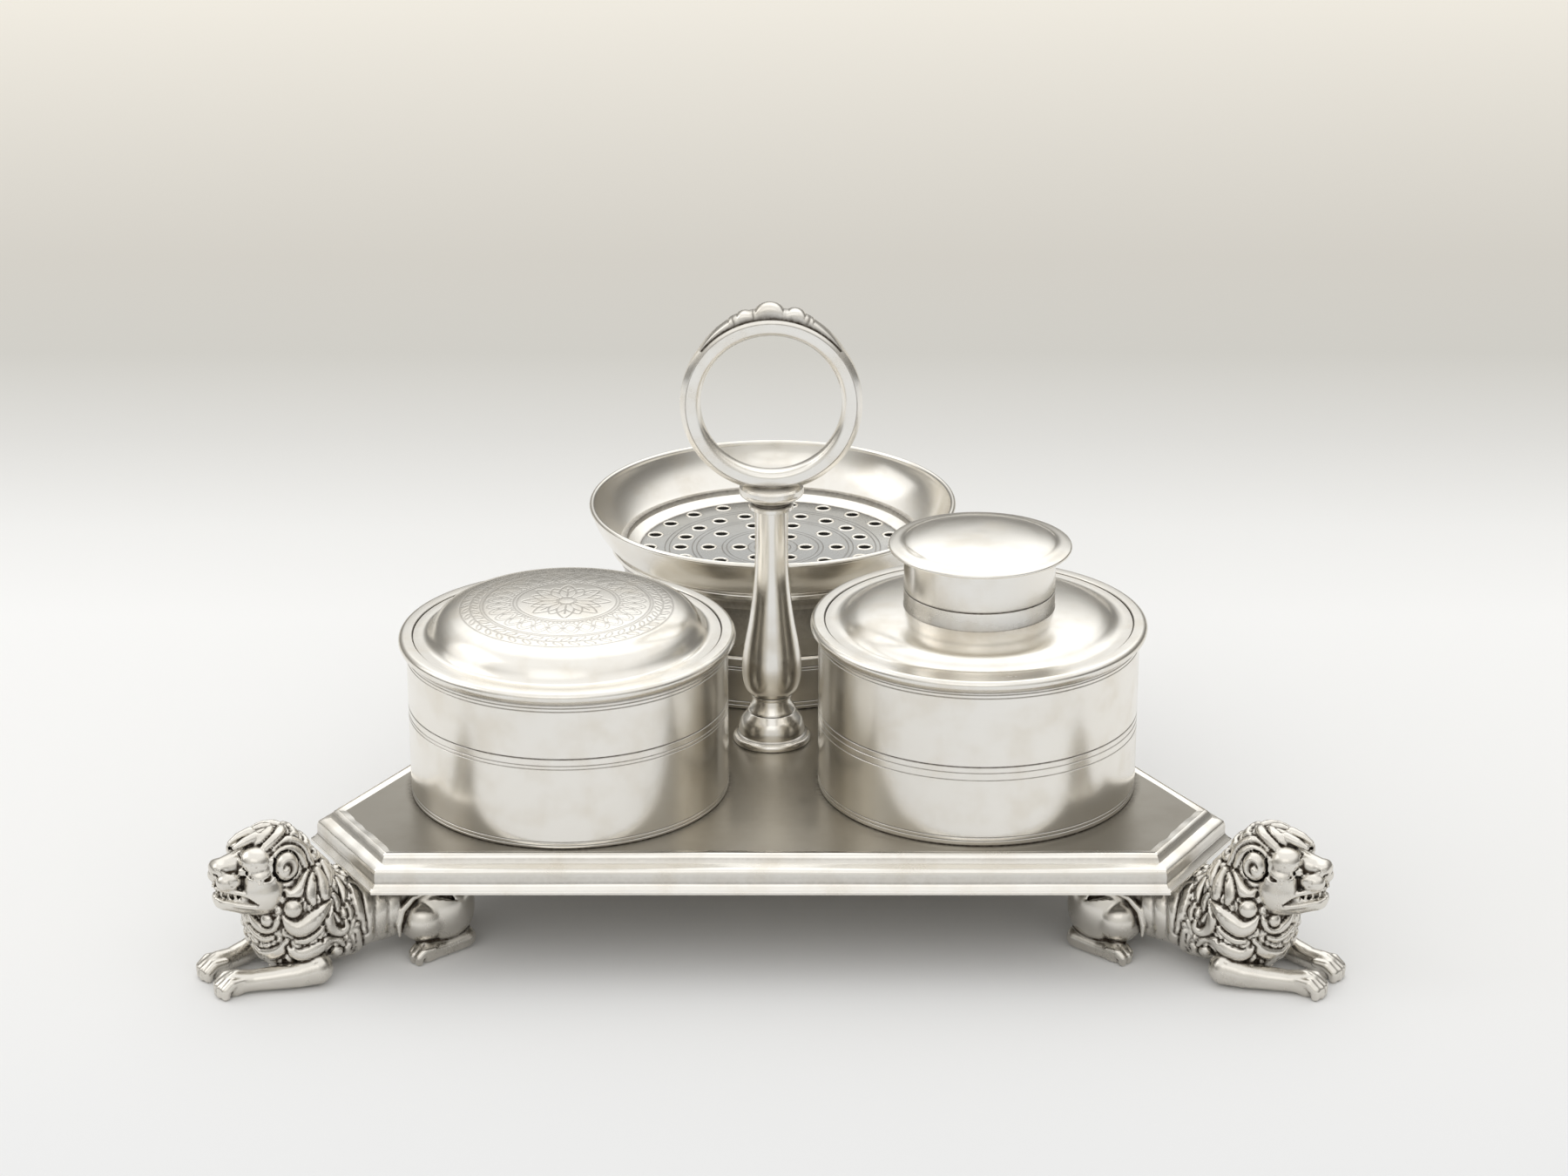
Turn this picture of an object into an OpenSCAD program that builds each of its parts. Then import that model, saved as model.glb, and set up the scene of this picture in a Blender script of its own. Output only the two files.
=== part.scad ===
// Desk inkstand in silver: a three-cornered tray on three couchant lions, carrying a wafer box,
// an ink pot and a sander round a turned handle with a finger ring.
// The handle's axis is the Z axis, the table top is Z = 0 and the front of the stand faces -Y.

/* [Tray] */
// Distance from the handle's axis to the foot of a long side
tray_side_reach = 50.6; // [49:0.2:56]
// Distance from the handle's axis to the foot of a cut corner
tray_corner_reach = 80.6; // [76:0.2:86]
// Height of the tray's underside above the table
tray_rest_h = 15.9; // [15:0.1:18]
// Height of the moulded edge, from its foot to the deck
edge_h = 5.4; // [5:0.1:7]
// Width of the moulded edge, from its foot to the deck
edge_w = 4; // [3.6:0.1:5]
// Height of the upright band at the foot of the edge
edge_band_h = 1.2; // [0.8:0.1:1.6]
// Radius of the hollow above that band
edge_cove_r = 1.4; // [1:0.1:1.6]
// Depth of the small step that frames the deck
edge_step = 0.4; // [0.2:0.1:0.6]
// Width of the edge's foot, outside the open underside
edge_foot_w = 3; // [2.8:0.1:3.2]
// Thickness of the deck plate
deck_t = 0.9; // [0.7:0.1:1.4]
// Width of the ledge that carries the deck plate
ledge_w = 1.3; // [1:0.1:2]

/* [Lions] */
// How far a lion's fore toes reach beyond the tray's cut corner
lion_out = 24.2; // [22:0.2:28]
// Length of a lion from its toes to its haunches
lion_len = 45.5; // [44:0.5:48]
// Width of a lion across its haunches
lion_w = 20; // [18:0.5:22]
// Height of a lion's head above the table
lion_h = 26; // [25:0.2:28]
// Length of the seat on a lion's back that rises to the deck plate
lion_seat_l = 9; // [6:0.5:10]
// Width of that seat
lion_seat_w = 8; // [6:0.5:12]

/* [Pots] */
// Outer radius of the pots' walls
pot_r = 26.4; // [25.6:0.1:27]
// Thickness of the pots' walls
pot_wall = 0.8; // [0.6:0.05:1.2]
// Thickness of the pots' floors
pot_floor_t = 0.9; // [0.6:0.1:1.4]
// Distance from the handle's axis to a pot's axis
pot_offset = 38.3; // [37.6:0.1:40]
// How far the rim stands out from the wall
rim_out = 1.3; // [0.8:0.1:1.6]
// Height of the rim
rim_h = 2.4; // [2:0.1:3]
// Width of the rim's top, outside the lid
rim_top_w = 2.3; // [2:0.1:2.6]
// Depth of the recess in the rim that takes a lid
rim_recess = 0.9; // [0.7:0.1:1.2]
// Width of the ledge that a lid rests on
rim_ledge_w = 0.7; // [0.5:0.1:0.9]
// Width of an engraved line
line_w = 0.22; // [0.15:0.01:0.3]
// Depth of an engraved line
line_deep = 0.12; // [0.08:0.01:0.16]
// Gap between two lines of a pair
line_gap = 0.62; // [0.5:0.02:0.9]
// Height of the lowest line above the deck
base_line_h = 0.6; // [0.5:0.05:1]

/* [Wafer box] */
// Direction of the box from the handle, in degrees
box_angle = -151; // [-153:0.5:-149]
// Height of the box, from the deck to the top of its rim
box_h = 27.4; // [24:0.2:34]
// Height of the box's lowest middle line above the deck
box_line_h = 13.9; // [12:0.1:16]

/* [Ink pot] */
// Direction of the ink pot from the handle, in degrees
ink_angle = -27; // [-31:0.5:-25]
// Height of the ink pot, from the deck to the top of its rim
ink_h = 29; // [26:0.2:34]
// Height of the ink pot's lowest middle line above the deck
ink_line_h = 11.6; // [10:0.1:14]
// Outer radius of the silver neck
neck_r = 12.4; // [11:0.1:13.5]
// Thickness of the neck's wall
neck_wall = 0.7; // [0.5:0.05:0.9]
// Height of the neck's shoulder above the cover's crown
neck_h = 2.1; // [1.6:0.1:4]
// Height of the collar that the cap slides over
collar_h = 5.2; // [4:0.1:6.5]
// Radius of the cap's brim
brim_r = 15; // [14.2:0.1:16.5]
// Thickness of the cap's brim
brim_t = 0.6; // [0.5:0.05:0.9]
// Height of the cap's skirt
skirt_h = 7; // [6.6:0.1:8.5]
// Thickness of the cap's skirt
skirt_wall = 0.6; // [0.5:0.05:0.75]
// Rise of the cap's domed top
cap_rise = 0.8; // [0.5:0.1:2]
// Wall of the glass liner
liner_wall = 2; // [1.5:0.1:2.6]
// Gap between the glass liner and the pot's wall
liner_gap = 2.6; // [2.4:0.1:5.6]
// Outer radius of the liner's neck
liner_neck_r = 10.5; // [9:0.1:10.6]

/* [Lids] */
// Distance from the edge of the rim's recess in to a lid's raised dome
dome_inset = 3.5; // [3:0.1:4.9]
// Height of the dome's shoulder above its foot
dome_h = 4.4; // [3:0.1:5]
// Radius of the rounded shoulder of the dome
dome_round = 2.8; // [1.8:0.1:3]
// Rise of the crown inside the shoulder
crown_rise = 0.7; // [0.4:0.1:1.5]
// Thickness of the lids' sheet
lid_t = 0.7; // [0.5:0.05:0.9]
// Depth of the bezel under a lid
bezel_h = 4.5; // [3:0.1:6]
// Thickness of the bezels
bezel_t = 0.7; // [0.5:0.05:0.9]
// Sliding gap round lids, bezels and cap
slip = 0.2; // [0.15:0.01:0.25]

/* [Sander] */
// Height of the sander's lower drum above the deck
drum_h = 9.8; // [8.5:0.1:13]
// Height of the lift-off upper wall
caster_h = 9.2; // [7.5:0.1:12]
// How far the drum's collar stands up inside the upper wall
drum_collar_h = 4.2; // [3:0.1:6]
// Height of the moulded ring under the dish
foot_ring_h = 3.2; // [2.4:0.1:4]
// How far the moulded ring under the dish stands out from the wall
foot_ring_out = 2.3; // [1.6:0.1:3.6]
// How far the dish's lip stands out from the wall
dish_out = 6.1; // [4.6:0.1:7.6]
// Height of the lip above the moulded ring
dish_rise = 6.8; // [5.5:0.1:9]
// Thickness of the dish
dish_t = 0.8; // [0.6:0.05:1.1]
// Height of the rounded lip
lip_h = 1; // [0.8:0.1:1.4]
// Distance from the wall's face in to the edge of the pierced floor
sieve_inset = 2.8; // [1.8:0.1:3.4]
// Depth of the pierced floor below the top of the moulded ring
sieve_drop = 1.8; // [1.2:0.1:2.2]
// Thickness of the pierced floor
sieve_t = 0.8; // [0.6:0.05:1]
// Diameter of a hole in the pierced floor
hole_d = 2.1; // [1.6:0.1:2.4]

/* [Handle] */
// Radius of the handle's foot
foot_r = 6.6; // [6:0.1:7.2]
// Height of the upright edge of the foot
foot_edge_h = 0.8; // [0.6:0.1:1.2]
// Height of the whole domed foot
foot_h = 3.8; // [3.2:0.1:4.6]
// Radius of the foot at its top
foot_top_r = 3.8; // [3.4:0.1:4.4]
// Radius of the waist above the foot
waist_r = 2.7; // [2.4:0.1:3]
// Height of the waist above the foot
waist_h = 3.2; // [2.6:0.1:4]
// Greatest radius of the baluster
bulb_r = 5.1; // [4.4:0.1:5.8]
// Height of the baluster's greatest radius above the waist
bulb_h = 6.9; // [6:0.1:8]
// Radius of the stem's slender part
stem_r = 2.65; // [2.4:0.05:3]
// Length of the stem from its widest part to the knop's collar
stem_l = 28; // [24:0.2:32]
// Radius of the thin collar under the knop
collar_r = 3.7; // [3.3:0.1:4.2]
// Height of that collar
stem_collar_h = 0.8; // [0.6:0.1:1.2]
// Radius of the bowl-shaped knop
knop_r = 5.4; // [4.8:0.1:6]
// Height of the knop
knop_h = 3.4; // [3:0.1:4]
// Radius of the threaded stud
stud_r = 1.5; // [1.2:0.05:1.7]
// Depth of the stud in the baluster
stud_in = 4; // [3:0.1:6]
// Radius of the washer under the deck
washer_r = 4.5; // [4:0.1:6]
// Thickness of the washer
washer_t = 0.6; // [0.4:0.05:0.8]
// Width of the nut across its flats
nut_w = 6; // [5.5:0.1:7]
// Thickness of the nut
nut_t = 2.2; // [1.8:0.1:2.5]

/* [Finger ring] */
// Outer radius of the finger ring
ring_r = 15.1; // [14.4:0.1:15.6]
// Width of the ring's band, across its radius
ring_band = 3.05; // [2.6:0.05:3.4]
// Thickness of the ring from front to back
ring_t = 3.8; // [3.2:0.1:4.4]
// How far the ring sinks into the knop
ring_sink = 0.75; // [0.5:0.05:1]
// Radius of the crest's middle lobe
lobe_r = 2.8; // [2.4:0.1:3.2]
// Radius of the crest's side lobes
side_lobe_r = 2; // [1.7:0.1:2.2]
// Angle of the side lobes from the middle of the crest
lobe_turn = 17; // [15:0.5:20]
// How much lower the side lobes end than the middle one
lobe_drop = 0.5; // [0.3:0.05:0.8]
// Height of the middle lobe's top above the ring
crest_h = 2.3; // [1.8:0.1:2.8]
// Reach of the crest's leaf tips from the middle
leaf_reach = 11.8; // [10.5:0.1:12.5]

/* [Hidden] */

$fn = 96;
silver = "#d8d4cc";
bright_silver = "#e6e2da";
dark_silver = "#a8a49c";
green_glass = "#9fb3b0";
steel = "#8c8c8c";

eps = 0.01;
edge_nib = 0.3;
corner_angles = [-150, -30, 90];
sander_angle = corner_angles[2];
deck_z = tray_rest_h + edge_h;
deck_under = deck_z - deck_t;
deck_side = tray_side_reach - edge_w;
deck_corner = tray_corner_reach - edge_w;

lion_reach = tray_corner_reach + lion_out;
lion_size = [lion_len, lion_w, lion_h];

pot_in_r = pot_r - pot_wall;
liner_r = pot_in_r - liner_gap;
floor_top = deck_z + pot_floor_t;
rim_r = pot_r + rim_out;
recess_r = rim_r - rim_top_w;
ledge_r = recess_r - rim_ledge_w;
flange_r = recess_r - slip;
dome_r = recess_r - dome_inset;
bezel_r = ledge_r - slip;
box_top = deck_z + box_h;
ink_top = deck_z + ink_h;

// Heights on a lid are counted from the ledge that it rests on.
flange_dip = 0.4;
crown_r = dome_r - dome_round;
neck_seat_r = neck_r + 1;
cover_z = ink_top - rim_recess;
seat_h = crown_height(neck_seat_r);
neck_z = cover_z + seat_h;
shoulder_z = neck_z + neck_h;
brim_z = shoulder_z + skirt_h;
skirt_in_r = neck_r - skirt_wall;
neck_bore_r = skirt_in_r - slip - neck_wall;

foot_ring_r = pot_r + foot_ring_out;
dish_r = pot_r + dish_out;
sieve_r = pot_r - sieve_inset;
seam_z = deck_z + drum_h;
ring_foot_z = seam_z + caster_h;
ring_top_z = ring_foot_z + foot_ring_h;
lip_z = ring_top_z + dish_rise;
sieve_z = ring_top_z - sieve_drop;

// The dish's wall is an arc in section, from the pierced floor to the lip.
dish_bend = 60;
dish_foot = [sieve_r, sieve_z];
dish_edge = [dish_r - lip_h, lip_z];
dish_chord = dish_edge - dish_foot;
dish_start = atan2(dish_chord.y, dish_chord.x) - dish_bend / 2;
dish_arc_r = norm(dish_chord) / (2 * sin(dish_bend / 2));
dish_centre = dish_foot + dish_arc_r * [-sin(dish_start), cos(dish_start)];

foot_z = deck_z + foot_h;
waist_z = foot_z + waist_h;
bulb_z = waist_z + bulb_h;
collar_z = bulb_z + stem_l;
knop_z = collar_z + stem_collar_h;
knop_top = knop_z + knop_h;
ring_z = knop_top - ring_sink + ring_r;
thread_gap = 0.05;

// Points of an arc round a centre, from one angle to another.
function arc(centre, r, from, to, steps = 8) =
    [for (i = [0 : steps]) let (a = from + (to - from) * i / steps)
        centre + r * [cos(a), sin(a)]];

// Points of an S-shaped swell between two [radius, height] points, upright at both ends.
// A haste under 1 makes the change come sooner.
function swell(p, q, haste = 1, steps = 10) =
    [for (i = [0 : steps]) let (t = i / steps, k = (1 - cos(180 * pow(t, haste))) / 2)
        [p.x + (q.x - p.x) * k, p.y + (q.y - p.y) * t]];

// Height of a lid's crown at a radius, above the ledge.
function crown_height(r) = dome_h - flange_dip + crown_rise * (1 - pow(r / crown_r, 2));

// Corners of a three-cornered plate with cut corners, whose sides stand at one distance
// from the middle and its cuts at another.
function plate_outline(side, cut) =
    [for (a = corner_angles, s = [-1, 1]) let (half = s * (2 * side - cut) / sqrt(3))
        [cut * cos(a) - half * sin(a), cut * sin(a) + half * cos(a)]];

// Moves its children outwards from the handle's axis.
module out_at(distance, angle) {
    translate([distance * cos(angle), distance * sin(angle), 0]) children();
}

// A ring with a square section, standing on a height.
module tube(r_out, r_in, h, z = 0) {
    translate([0, 0, z]) difference() {
        cylinder(r = r_out, h = h);
        translate([0, 0, -eps]) cylinder(r = r_in, h = h + 2 * eps);
    }
}

// A disc that stands on a height.
module disc(r, h, z = 0) {
    translate([0, 0, z]) cylinder(r = r, h = h);
}

// A turned solid, from the points of its half section.
module turned(points, z = 0) {
    translate([0, 0, z]) rotate_extrude() polygon(points);
}

// A turned wall with engraved lines at the listed heights.
module lined_wall(r_out, r_in, h, z, lines) {
    difference() {
        tube(r_out, r_in, h, z);
        for (line = lines)
            tube(r_out + 1, r_out - line_deep, line_w, z + line);
    }
}

// Heights of a pair of lines, and of a set of three with the strong line on top.
function pair(h) = [h, h + line_gap];
function triple(h) = [h, h + line_gap, h + 3 * line_gap];

// Section of the moulded edge: an upright band, a hollow and a round, up to the deck's step.
// X runs outwards from the deck's edge and Y upwards from the table side.
module edge_section() {
    cove_x = edge_w - edge_nib;
    cove_y = edge_band_h + edge_cove_r;
    round_r = edge_w - edge_step - edge_nib - edge_cove_r;
    round_x = cove_x - edge_cove_r - round_r;
    round_y = edge_h - edge_step - round_r;
    far = 2 * tray_corner_reach;
    polygon(concat(
        [[edge_w, 0], [edge_w, edge_band_h]],
        arc([cove_x, cove_y], edge_cove_r, 270, 180),
        arc([round_x, round_y], round_r, 0, 90),
        [[0, edge_h - edge_step], [-far, edge_h - edge_step], [-far, 0]]));
}

// The section drawn out along one side of the tray.
module edge_along(k) {
    deck = plate_outline(deck_side, deck_corner);
    run = deck[(k + 1) % len(deck)] - deck[k];
    far = 2 * tray_corner_reach;
    translate([deck[k].x, deck[k].y, 0]) rotate([0, 0, atan2(run.y, run.x)])
        translate([-far, 0, 0]) rotate([90, 0, 90])
            linear_extrude(2 * far) mirror([1, 0]) edge_section();
}

// Moulded border: what all the sides' sections have in common, with a seat for the deck,
// a ledge under it and an open underside.
module tray_border() {
    sides = 2 * len(corner_angles);
    foot = edge_w - edge_foot_w;
    ledge_y = edge_h - deck_t;
    color(silver) translate([0, 0, tray_rest_h]) difference() {
        intersection_for(k = [0 : sides - 1]) edge_along(k);
        translate([0, 0, ledge_y]) linear_extrude(edge_h)
            polygon(plate_outline(deck_side, deck_corner));
        translate([0, 0, -1]) linear_extrude(2 * edge_h)
            polygon(plate_outline(deck_side - ledge_w, deck_corner - ledge_w));
        translate([0, 0, -1]) linear_extrude(1 + ledge_y - ledge_w)
            polygon(plate_outline(deck_side + foot, deck_corner + foot));
    }
}

module tray_deck() {
    color(bright_silver) difference() {
        translate([0, 0, deck_under]) linear_extrude(deck_t)
            polygon(plate_outline(deck_side, deck_corner));
        disc(stud_r + thread_gap, deck_t + 1, deck_under - 0.5);
    }
}

// Size of the lion as its masses are laid out below: length, width and height.
model_size = [45.5, 20, 26];

// A ball with as many sides as its size needs.
module ball(r) {
    sphere(r = r, $fn = r > 5 ? 14 : r > 2.4 ? 12 : r > 1.6 ? 8 : 6);
}

// A limb or a muscle: the skin round two balls.
module limb(p, rp, q, rq) {
    hull() {
        translate(p) ball(rp);
        translate(q) ball(rq);
    }
}

// Forepaw or hind paw with its toes; x is at the root of the toes and y at the middle.
module paw(x, y, r, toes) {
    spread = 0.75 * r;
    limb([x - 1.6 * r, y, 0.8 * r], r, [x, y, 0.72 * r], 0.86 * r);
    for (i = [0 : toes - 1])
        translate([x + 0.5 * r, y + spread * (2 * i / (toes - 1) - 1), 0.5 * r])
            ball(0.5 * r);
}

// Fore leg, haunch and hind paw of one side. X is 0 at the tips of the fore toes and falls
// towards the rump; the fore legs draw together towards the paws.
module lion_legs(side) {
    limb([-14.8, side * 7.3, 3.2], 3, [-5.8, side * 4.2, 2.2], 2);
    limb([-15, side * 5.2, 9.6], 3.6, [-15.2, side * 7.2, 4.2], 3.1);
    paw(-2.2, side * 3.6, 2.1, 4);
    limb([-39.4, side * 4.2, 7.3], 5.8, [-34.6, side * 6.1, 4.6], 3.8);
    paw(-34, side * 7.9, 2.1, 3);
}

// Brow, eyelid, upper lip, cheek, ear and the curl beside the nose, on one side.
module lion_face(side) {
    limb([-9.8, side * 1.6, 22.4], 1.9, [-8.6, side * 4, 21.6], 2);
    limb([-7, side * 2.2, 18.6], 1.8, [-4.2, side * 1.5, 18.9], 1.7);
    limb([-10.6, side * 3.7, 16.8], 3.1, [-7.8, side * 2.6, 15.6], 2.4);
    translate([-12.4, side * 6.2, 21]) ball(2);
    translate([-6.3, side * 3.2, 20.9]) ball(0.9);
}

// The large locks that hang beside the cheek and over the shoulder, on one side.
module lion_locks(side) {
    limb([-18.4, side * 7, 18.6], 1.5, [-17.6, side * 7.8, 14.8], 1.3);
    limb([-17.8, side * 8, 13.2], 1.3, [-12.4, side * 8, 11.2], 1.6);
    limb([-19.6, side * 7.9, 7.2], 1.3, [-13.6, side * 8.3, 6.8], 1.6);
    limb([-20.4, side * 7.1, 12.2], 1.3, [-21.4, side * 6.8, 9], 1.1);
    translate([-12.2, side * 7.8, 14.6]) ball(1.4);
    translate([-19, side * 8.3, 4.8]) ball(1.3);
}

// A row of mane locks round the neck, between two angles that are counted from the side.
module mane_row(x, z, reach, r, count, from, to) {
    for (i = [0 : count - 1]) {
        a = from + (to - from) * i / (count - 1);
        translate([x, reach * cos(a), z + reach * sin(a)]) ball(r);
    }
}

module lion_mane() {
    limb([-14.9, 0, 9.6], 7.6, [-14.4, 0, 16], 7.3);
    mane_row(-12.8, 15.6, 7.8, 1.8, 8, 12, 168);
    mane_row(-18.2, 15, 6.2, 1.8, 6, 15, 165);
    mane_row(-9.6, 14, 5.8, 1.6, 4, 215, 325);
    mane_row(-9.4, 13, 7.6, 1.6, 4, 228, 312);
}

module lion_head() {
    translate([-12.2, 0, 19.2]) ball(6.7);
    limb([-9.2, 0, 20], 2.5, [-3.5, 0, 20.5], 1.8);
    limb([-9, 0, 14.9], 2.4, [-4.3, 0, 14.9], 1.7);
    limb([-9.8, 0, 24.2], 1.7, [-6, 0, 23.5], 0.8);
}

// The gap between the lips, from the front back to the corners of the mouth.
module lion_mouth() {
    gap_h = 1.2;
    translate([-7, -6, 16.4]) cube([8, 12, gap_h]);
}

// A couchant lion on the X axis, facing outwards. Its soles are cut flat on the table,
// its back passes under the tray, and a block on the back is soldered to the deck plate.
module lion() {
    rump = lion_reach - lion_len;
    middle_h = lion_h * 8.15 / model_size.z;
    stretch = [for (i = [0 : 2]) lion_size[i] / model_size[i]];
    difference() {
        translate([lion_reach, 0, 0]) scale(stretch) union() {
            limb([-38, 0, 8.15], 7.2, [-17.4, 0, 9.5], 7.5);
            lion_mane();
            difference() {
                union() {
                    lion_head();
                    for (side = [-1, 1]) lion_face(side);
                }
                lion_mouth();
            }
            for (side = [-1, 1]) {
                lion_legs(side);
                lion_locks(side);
            }
        }
        translate([rump - 1, -lion_w, tray_rest_h])
            cube([tray_corner_reach - rump + 1.3, 2 * lion_w, lion_h]);
        translate([rump - 1, -lion_w, -lion_h]) cube([lion_len + 2, 2 * lion_w, lion_h]);
    }
    translate([rump + lion_len / 15, -lion_seat_w / 2, middle_h])
        cube([lion_seat_l, lion_seat_w, deck_under - middle_h]);
}

module placed_lion(corner) {
    color(dark_silver) rotate([0, 0, corner_angles[corner]]) lion();
}

module lion_front_left() { placed_lion(0); }
module lion_front_right() { placed_lion(1); }
module lion_back() { placed_lion(2); }

// Pot rim: a rounded moulding with a recess and a ledge for the lid.
module pot_rim(top) {
    round_r = 0.9;
    out_x = rim_r - round_r;
    turned(concat(
        [[ledge_r, -rim_h], [ledge_r, -rim_recess], [recess_r, -rim_recess], [recess_r, 0]],
        arc([out_x, -round_r], round_r, 90, -45),
        [[pot_r, -rim_h]]), top);
}

module pot_floor() {
    disc(pot_in_r, pot_floor_t, deck_z);
}

// Lid or cover: a flange that dips to the foot of a dome, a rounded shoulder and a low crown.
// The crown is level inside flat_r, which is 0 on a plain lid.
module lid_sheet(flat_r, hole_r) {
    foot_x = bezel_r - bezel_t;
    dome_top = dome_h - flange_dip;
    steps = 8;
    crown = [for (i = [0 : steps]) let (r = crown_r + (flat_r - crown_r) * i / steps)
        [r, crown_height(r)]];
    outside = concat(
        [[flange_r, 0], [flange_r, lid_t], [foot_x, lid_t - 0.1], [dome_r, -flange_dip]],
        arc([crown_r, dome_top - dome_round], dome_round, 0, 80), crown,
        [[hole_r, crown_height(flat_r)]]);
    inside = concat(
        [[hole_r, crown_height(flat_r) - lid_t]],
        [for (i = [steps : -1 : 0]) [crown[i].x, crown[i].y - lid_t]],
        arc([crown_r, dome_top - dome_round], dome_round - lid_t, 80, 0),
        [[dome_r - lid_t, -flange_dip - lid_t], [foot_x, 0]]);
    rotate_extrude() polygon(concat(outside, inside));
}

// Tube under a lid that keeps it centred in the ledge.
module lid_bezel(seat_z) {
    tube(bezel_r, bezel_r - bezel_t, bezel_h, seat_z - bezel_h);
}

module box_wall() {
    color(silver) out_at(pot_offset, box_angle)
        lined_wall(pot_r, pot_in_r, box_h - rim_h, deck_z,
            concat(pair(base_line_h), triple(box_line_h), pair(box_h - rim_h - 2 * line_gap)));
}

module box_floor() {
    color(bright_silver) out_at(pot_offset, box_angle) pot_floor();
}

module box_rim() {
    color(silver) out_at(pot_offset, box_angle) pot_rim(box_top);
}

module box_lid() {
    color(bright_silver) out_at(pot_offset, box_angle)
        translate([0, 0, box_top - rim_recess]) lid_sheet(0, 0);
}

module box_lid_bezel() {
    color(silver) out_at(pot_offset, box_angle) lid_bezel(box_top - rim_recess);
}

module ink_wall() {
    color(silver) out_at(pot_offset, ink_angle)
        lined_wall(pot_r, pot_in_r, ink_h - rim_h, deck_z,
            concat(pair(base_line_h), triple(ink_line_h), pair(ink_h - rim_h - 2 * line_gap)));
}

module ink_floor() {
    color(bright_silver) out_at(pot_offset, ink_angle) pot_floor();
}

module ink_rim() {
    color(silver) out_at(pot_offset, ink_angle) pot_rim(ink_top);
}

// Glass well: a round body with a sloping shoulder and a neck that reaches into the silver neck.
module ink_liner() {
    body_top = cover_z - bezel_h - 1.2;
    slope_top = neck_z - lid_t - 2.6;
    mouth_z = shoulder_z + collar_h - 0.5;
    well_r = liner_r - liner_wall;
    mouth_r = liner_neck_r - liner_wall;
    color(green_glass, 0.5) out_at(pot_offset, ink_angle) turned([
        [0, floor_top], [liner_r, floor_top], [liner_r, body_top], [liner_neck_r, slope_top],
        [liner_neck_r, mouth_z], [mouth_r, mouth_z], [mouth_r, slope_top - liner_wall],
        [well_r, body_top - liner_wall], [well_r, floor_top + liner_wall],
        [0, floor_top + liner_wall]]);
}

module ink_cover() {
    color(bright_silver) out_at(pot_offset, ink_angle)
        translate([0, 0, cover_z]) lid_sheet(neck_seat_r, neck_bore_r);
}

module ink_cover_bezel() {
    color(silver) out_at(pot_offset, ink_angle) lid_bezel(cover_z);
}

// Neck on the cover: a plain drum with a thinner collar that the cap slides over.
module ink_neck() {
    collar_out = skirt_in_r - slip;
    color(silver) out_at(pot_offset, ink_angle) turned([
        [neck_bore_r, 0], [neck_r, 0], [neck_r, neck_h], [collar_out, neck_h],
        [collar_out, neck_h + collar_h], [neck_bore_r, neck_h + collar_h]], neck_z);
}

module ink_cap_skirt() {
    color(silver) out_at(pot_offset, ink_angle) tube(neck_r, skirt_in_r, skirt_h, shoulder_z);
}

// Cap top: a brim with a rounded edge and a low dome.
module ink_cap_top() {
    half = brim_t / 2;
    steps = 10;
    inner = brim_r - 1;
    color(bright_silver) out_at(pot_offset, ink_angle) turned(concat(
        [[0, 0]], arc([brim_r - half, half], half, -90, 90),
        [for (i = [0 : steps]) let (t = i / steps)
            [inner * (1 - t), brim_t + cap_rise * (1 - pow(1 - t, 2))]]), brim_z);
}

module sander_wall() {
    color(silver) out_at(pot_offset, sander_angle)
        lined_wall(pot_r, pot_in_r, drum_h, deck_z,
            concat(pair(base_line_h), pair(drum_h - 4 * line_gap)));
}

module sander_floor() {
    color(bright_silver) out_at(pot_offset, sander_angle) pot_floor();
}

// Collar inside the drum, stepped in above the seam so that the caster slides over it.
module sander_collar() {
    inner = pot_in_r - 2 * slip - pot_wall;
    step = pot_in_r - slip;
    color(bright_silver) out_at(pot_offset, sander_angle) turned([
        [inner, -drum_collar_h], [pot_in_r, -drum_collar_h], [pot_in_r, 0], [step, 0],
        [step, drum_collar_h], [inner, drum_collar_h]], seam_z);
}

module caster_wall() {
    color(silver) out_at(pot_offset, sander_angle)
        tube(pot_r, pot_in_r, ring_foot_z - seam_z, seam_z);
}

// Moulded ring under the dish: a flat band, a hollow and a rounded edge, with the dish's seat.
module caster_ring() {
    band = 0.8;
    cove_r = foot_ring_r - pot_r - band;
    cove_z = ring_foot_z + band;
    color(silver) out_at(pot_offset, sander_angle) rotate_extrude() difference() {
        polygon(concat(
            [[pot_in_r, ring_foot_z], [pot_r + band, ring_foot_z]],
            arc([pot_r + band + cove_r, cove_z], cove_r, 180, 90, 6),
            [[foot_ring_r, ring_top_z], [pot_in_r, ring_top_z]]));
        translate(dish_centre) circle(r = dish_arc_r + dish_t);
    }
}

// Dish that flares from the pierced floor to a rounded lip.
module caster_dish() {
    color(bright_silver) out_at(pot_offset, sander_angle) rotate_extrude() union() {
        difference() {
            intersection() {
                translate(dish_centre) circle(r = dish_arc_r + dish_t);
                translate([sieve_r, sieve_z - 2 * dish_t])
                    square([dish_r, lip_z - sieve_z + 2 * dish_t]);
            }
            translate(dish_centre) circle(r = dish_arc_r);
        }
        translate([dish_r - lip_h / 2, lip_z]) circle(r = lip_h / 2);
    }
}

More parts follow.
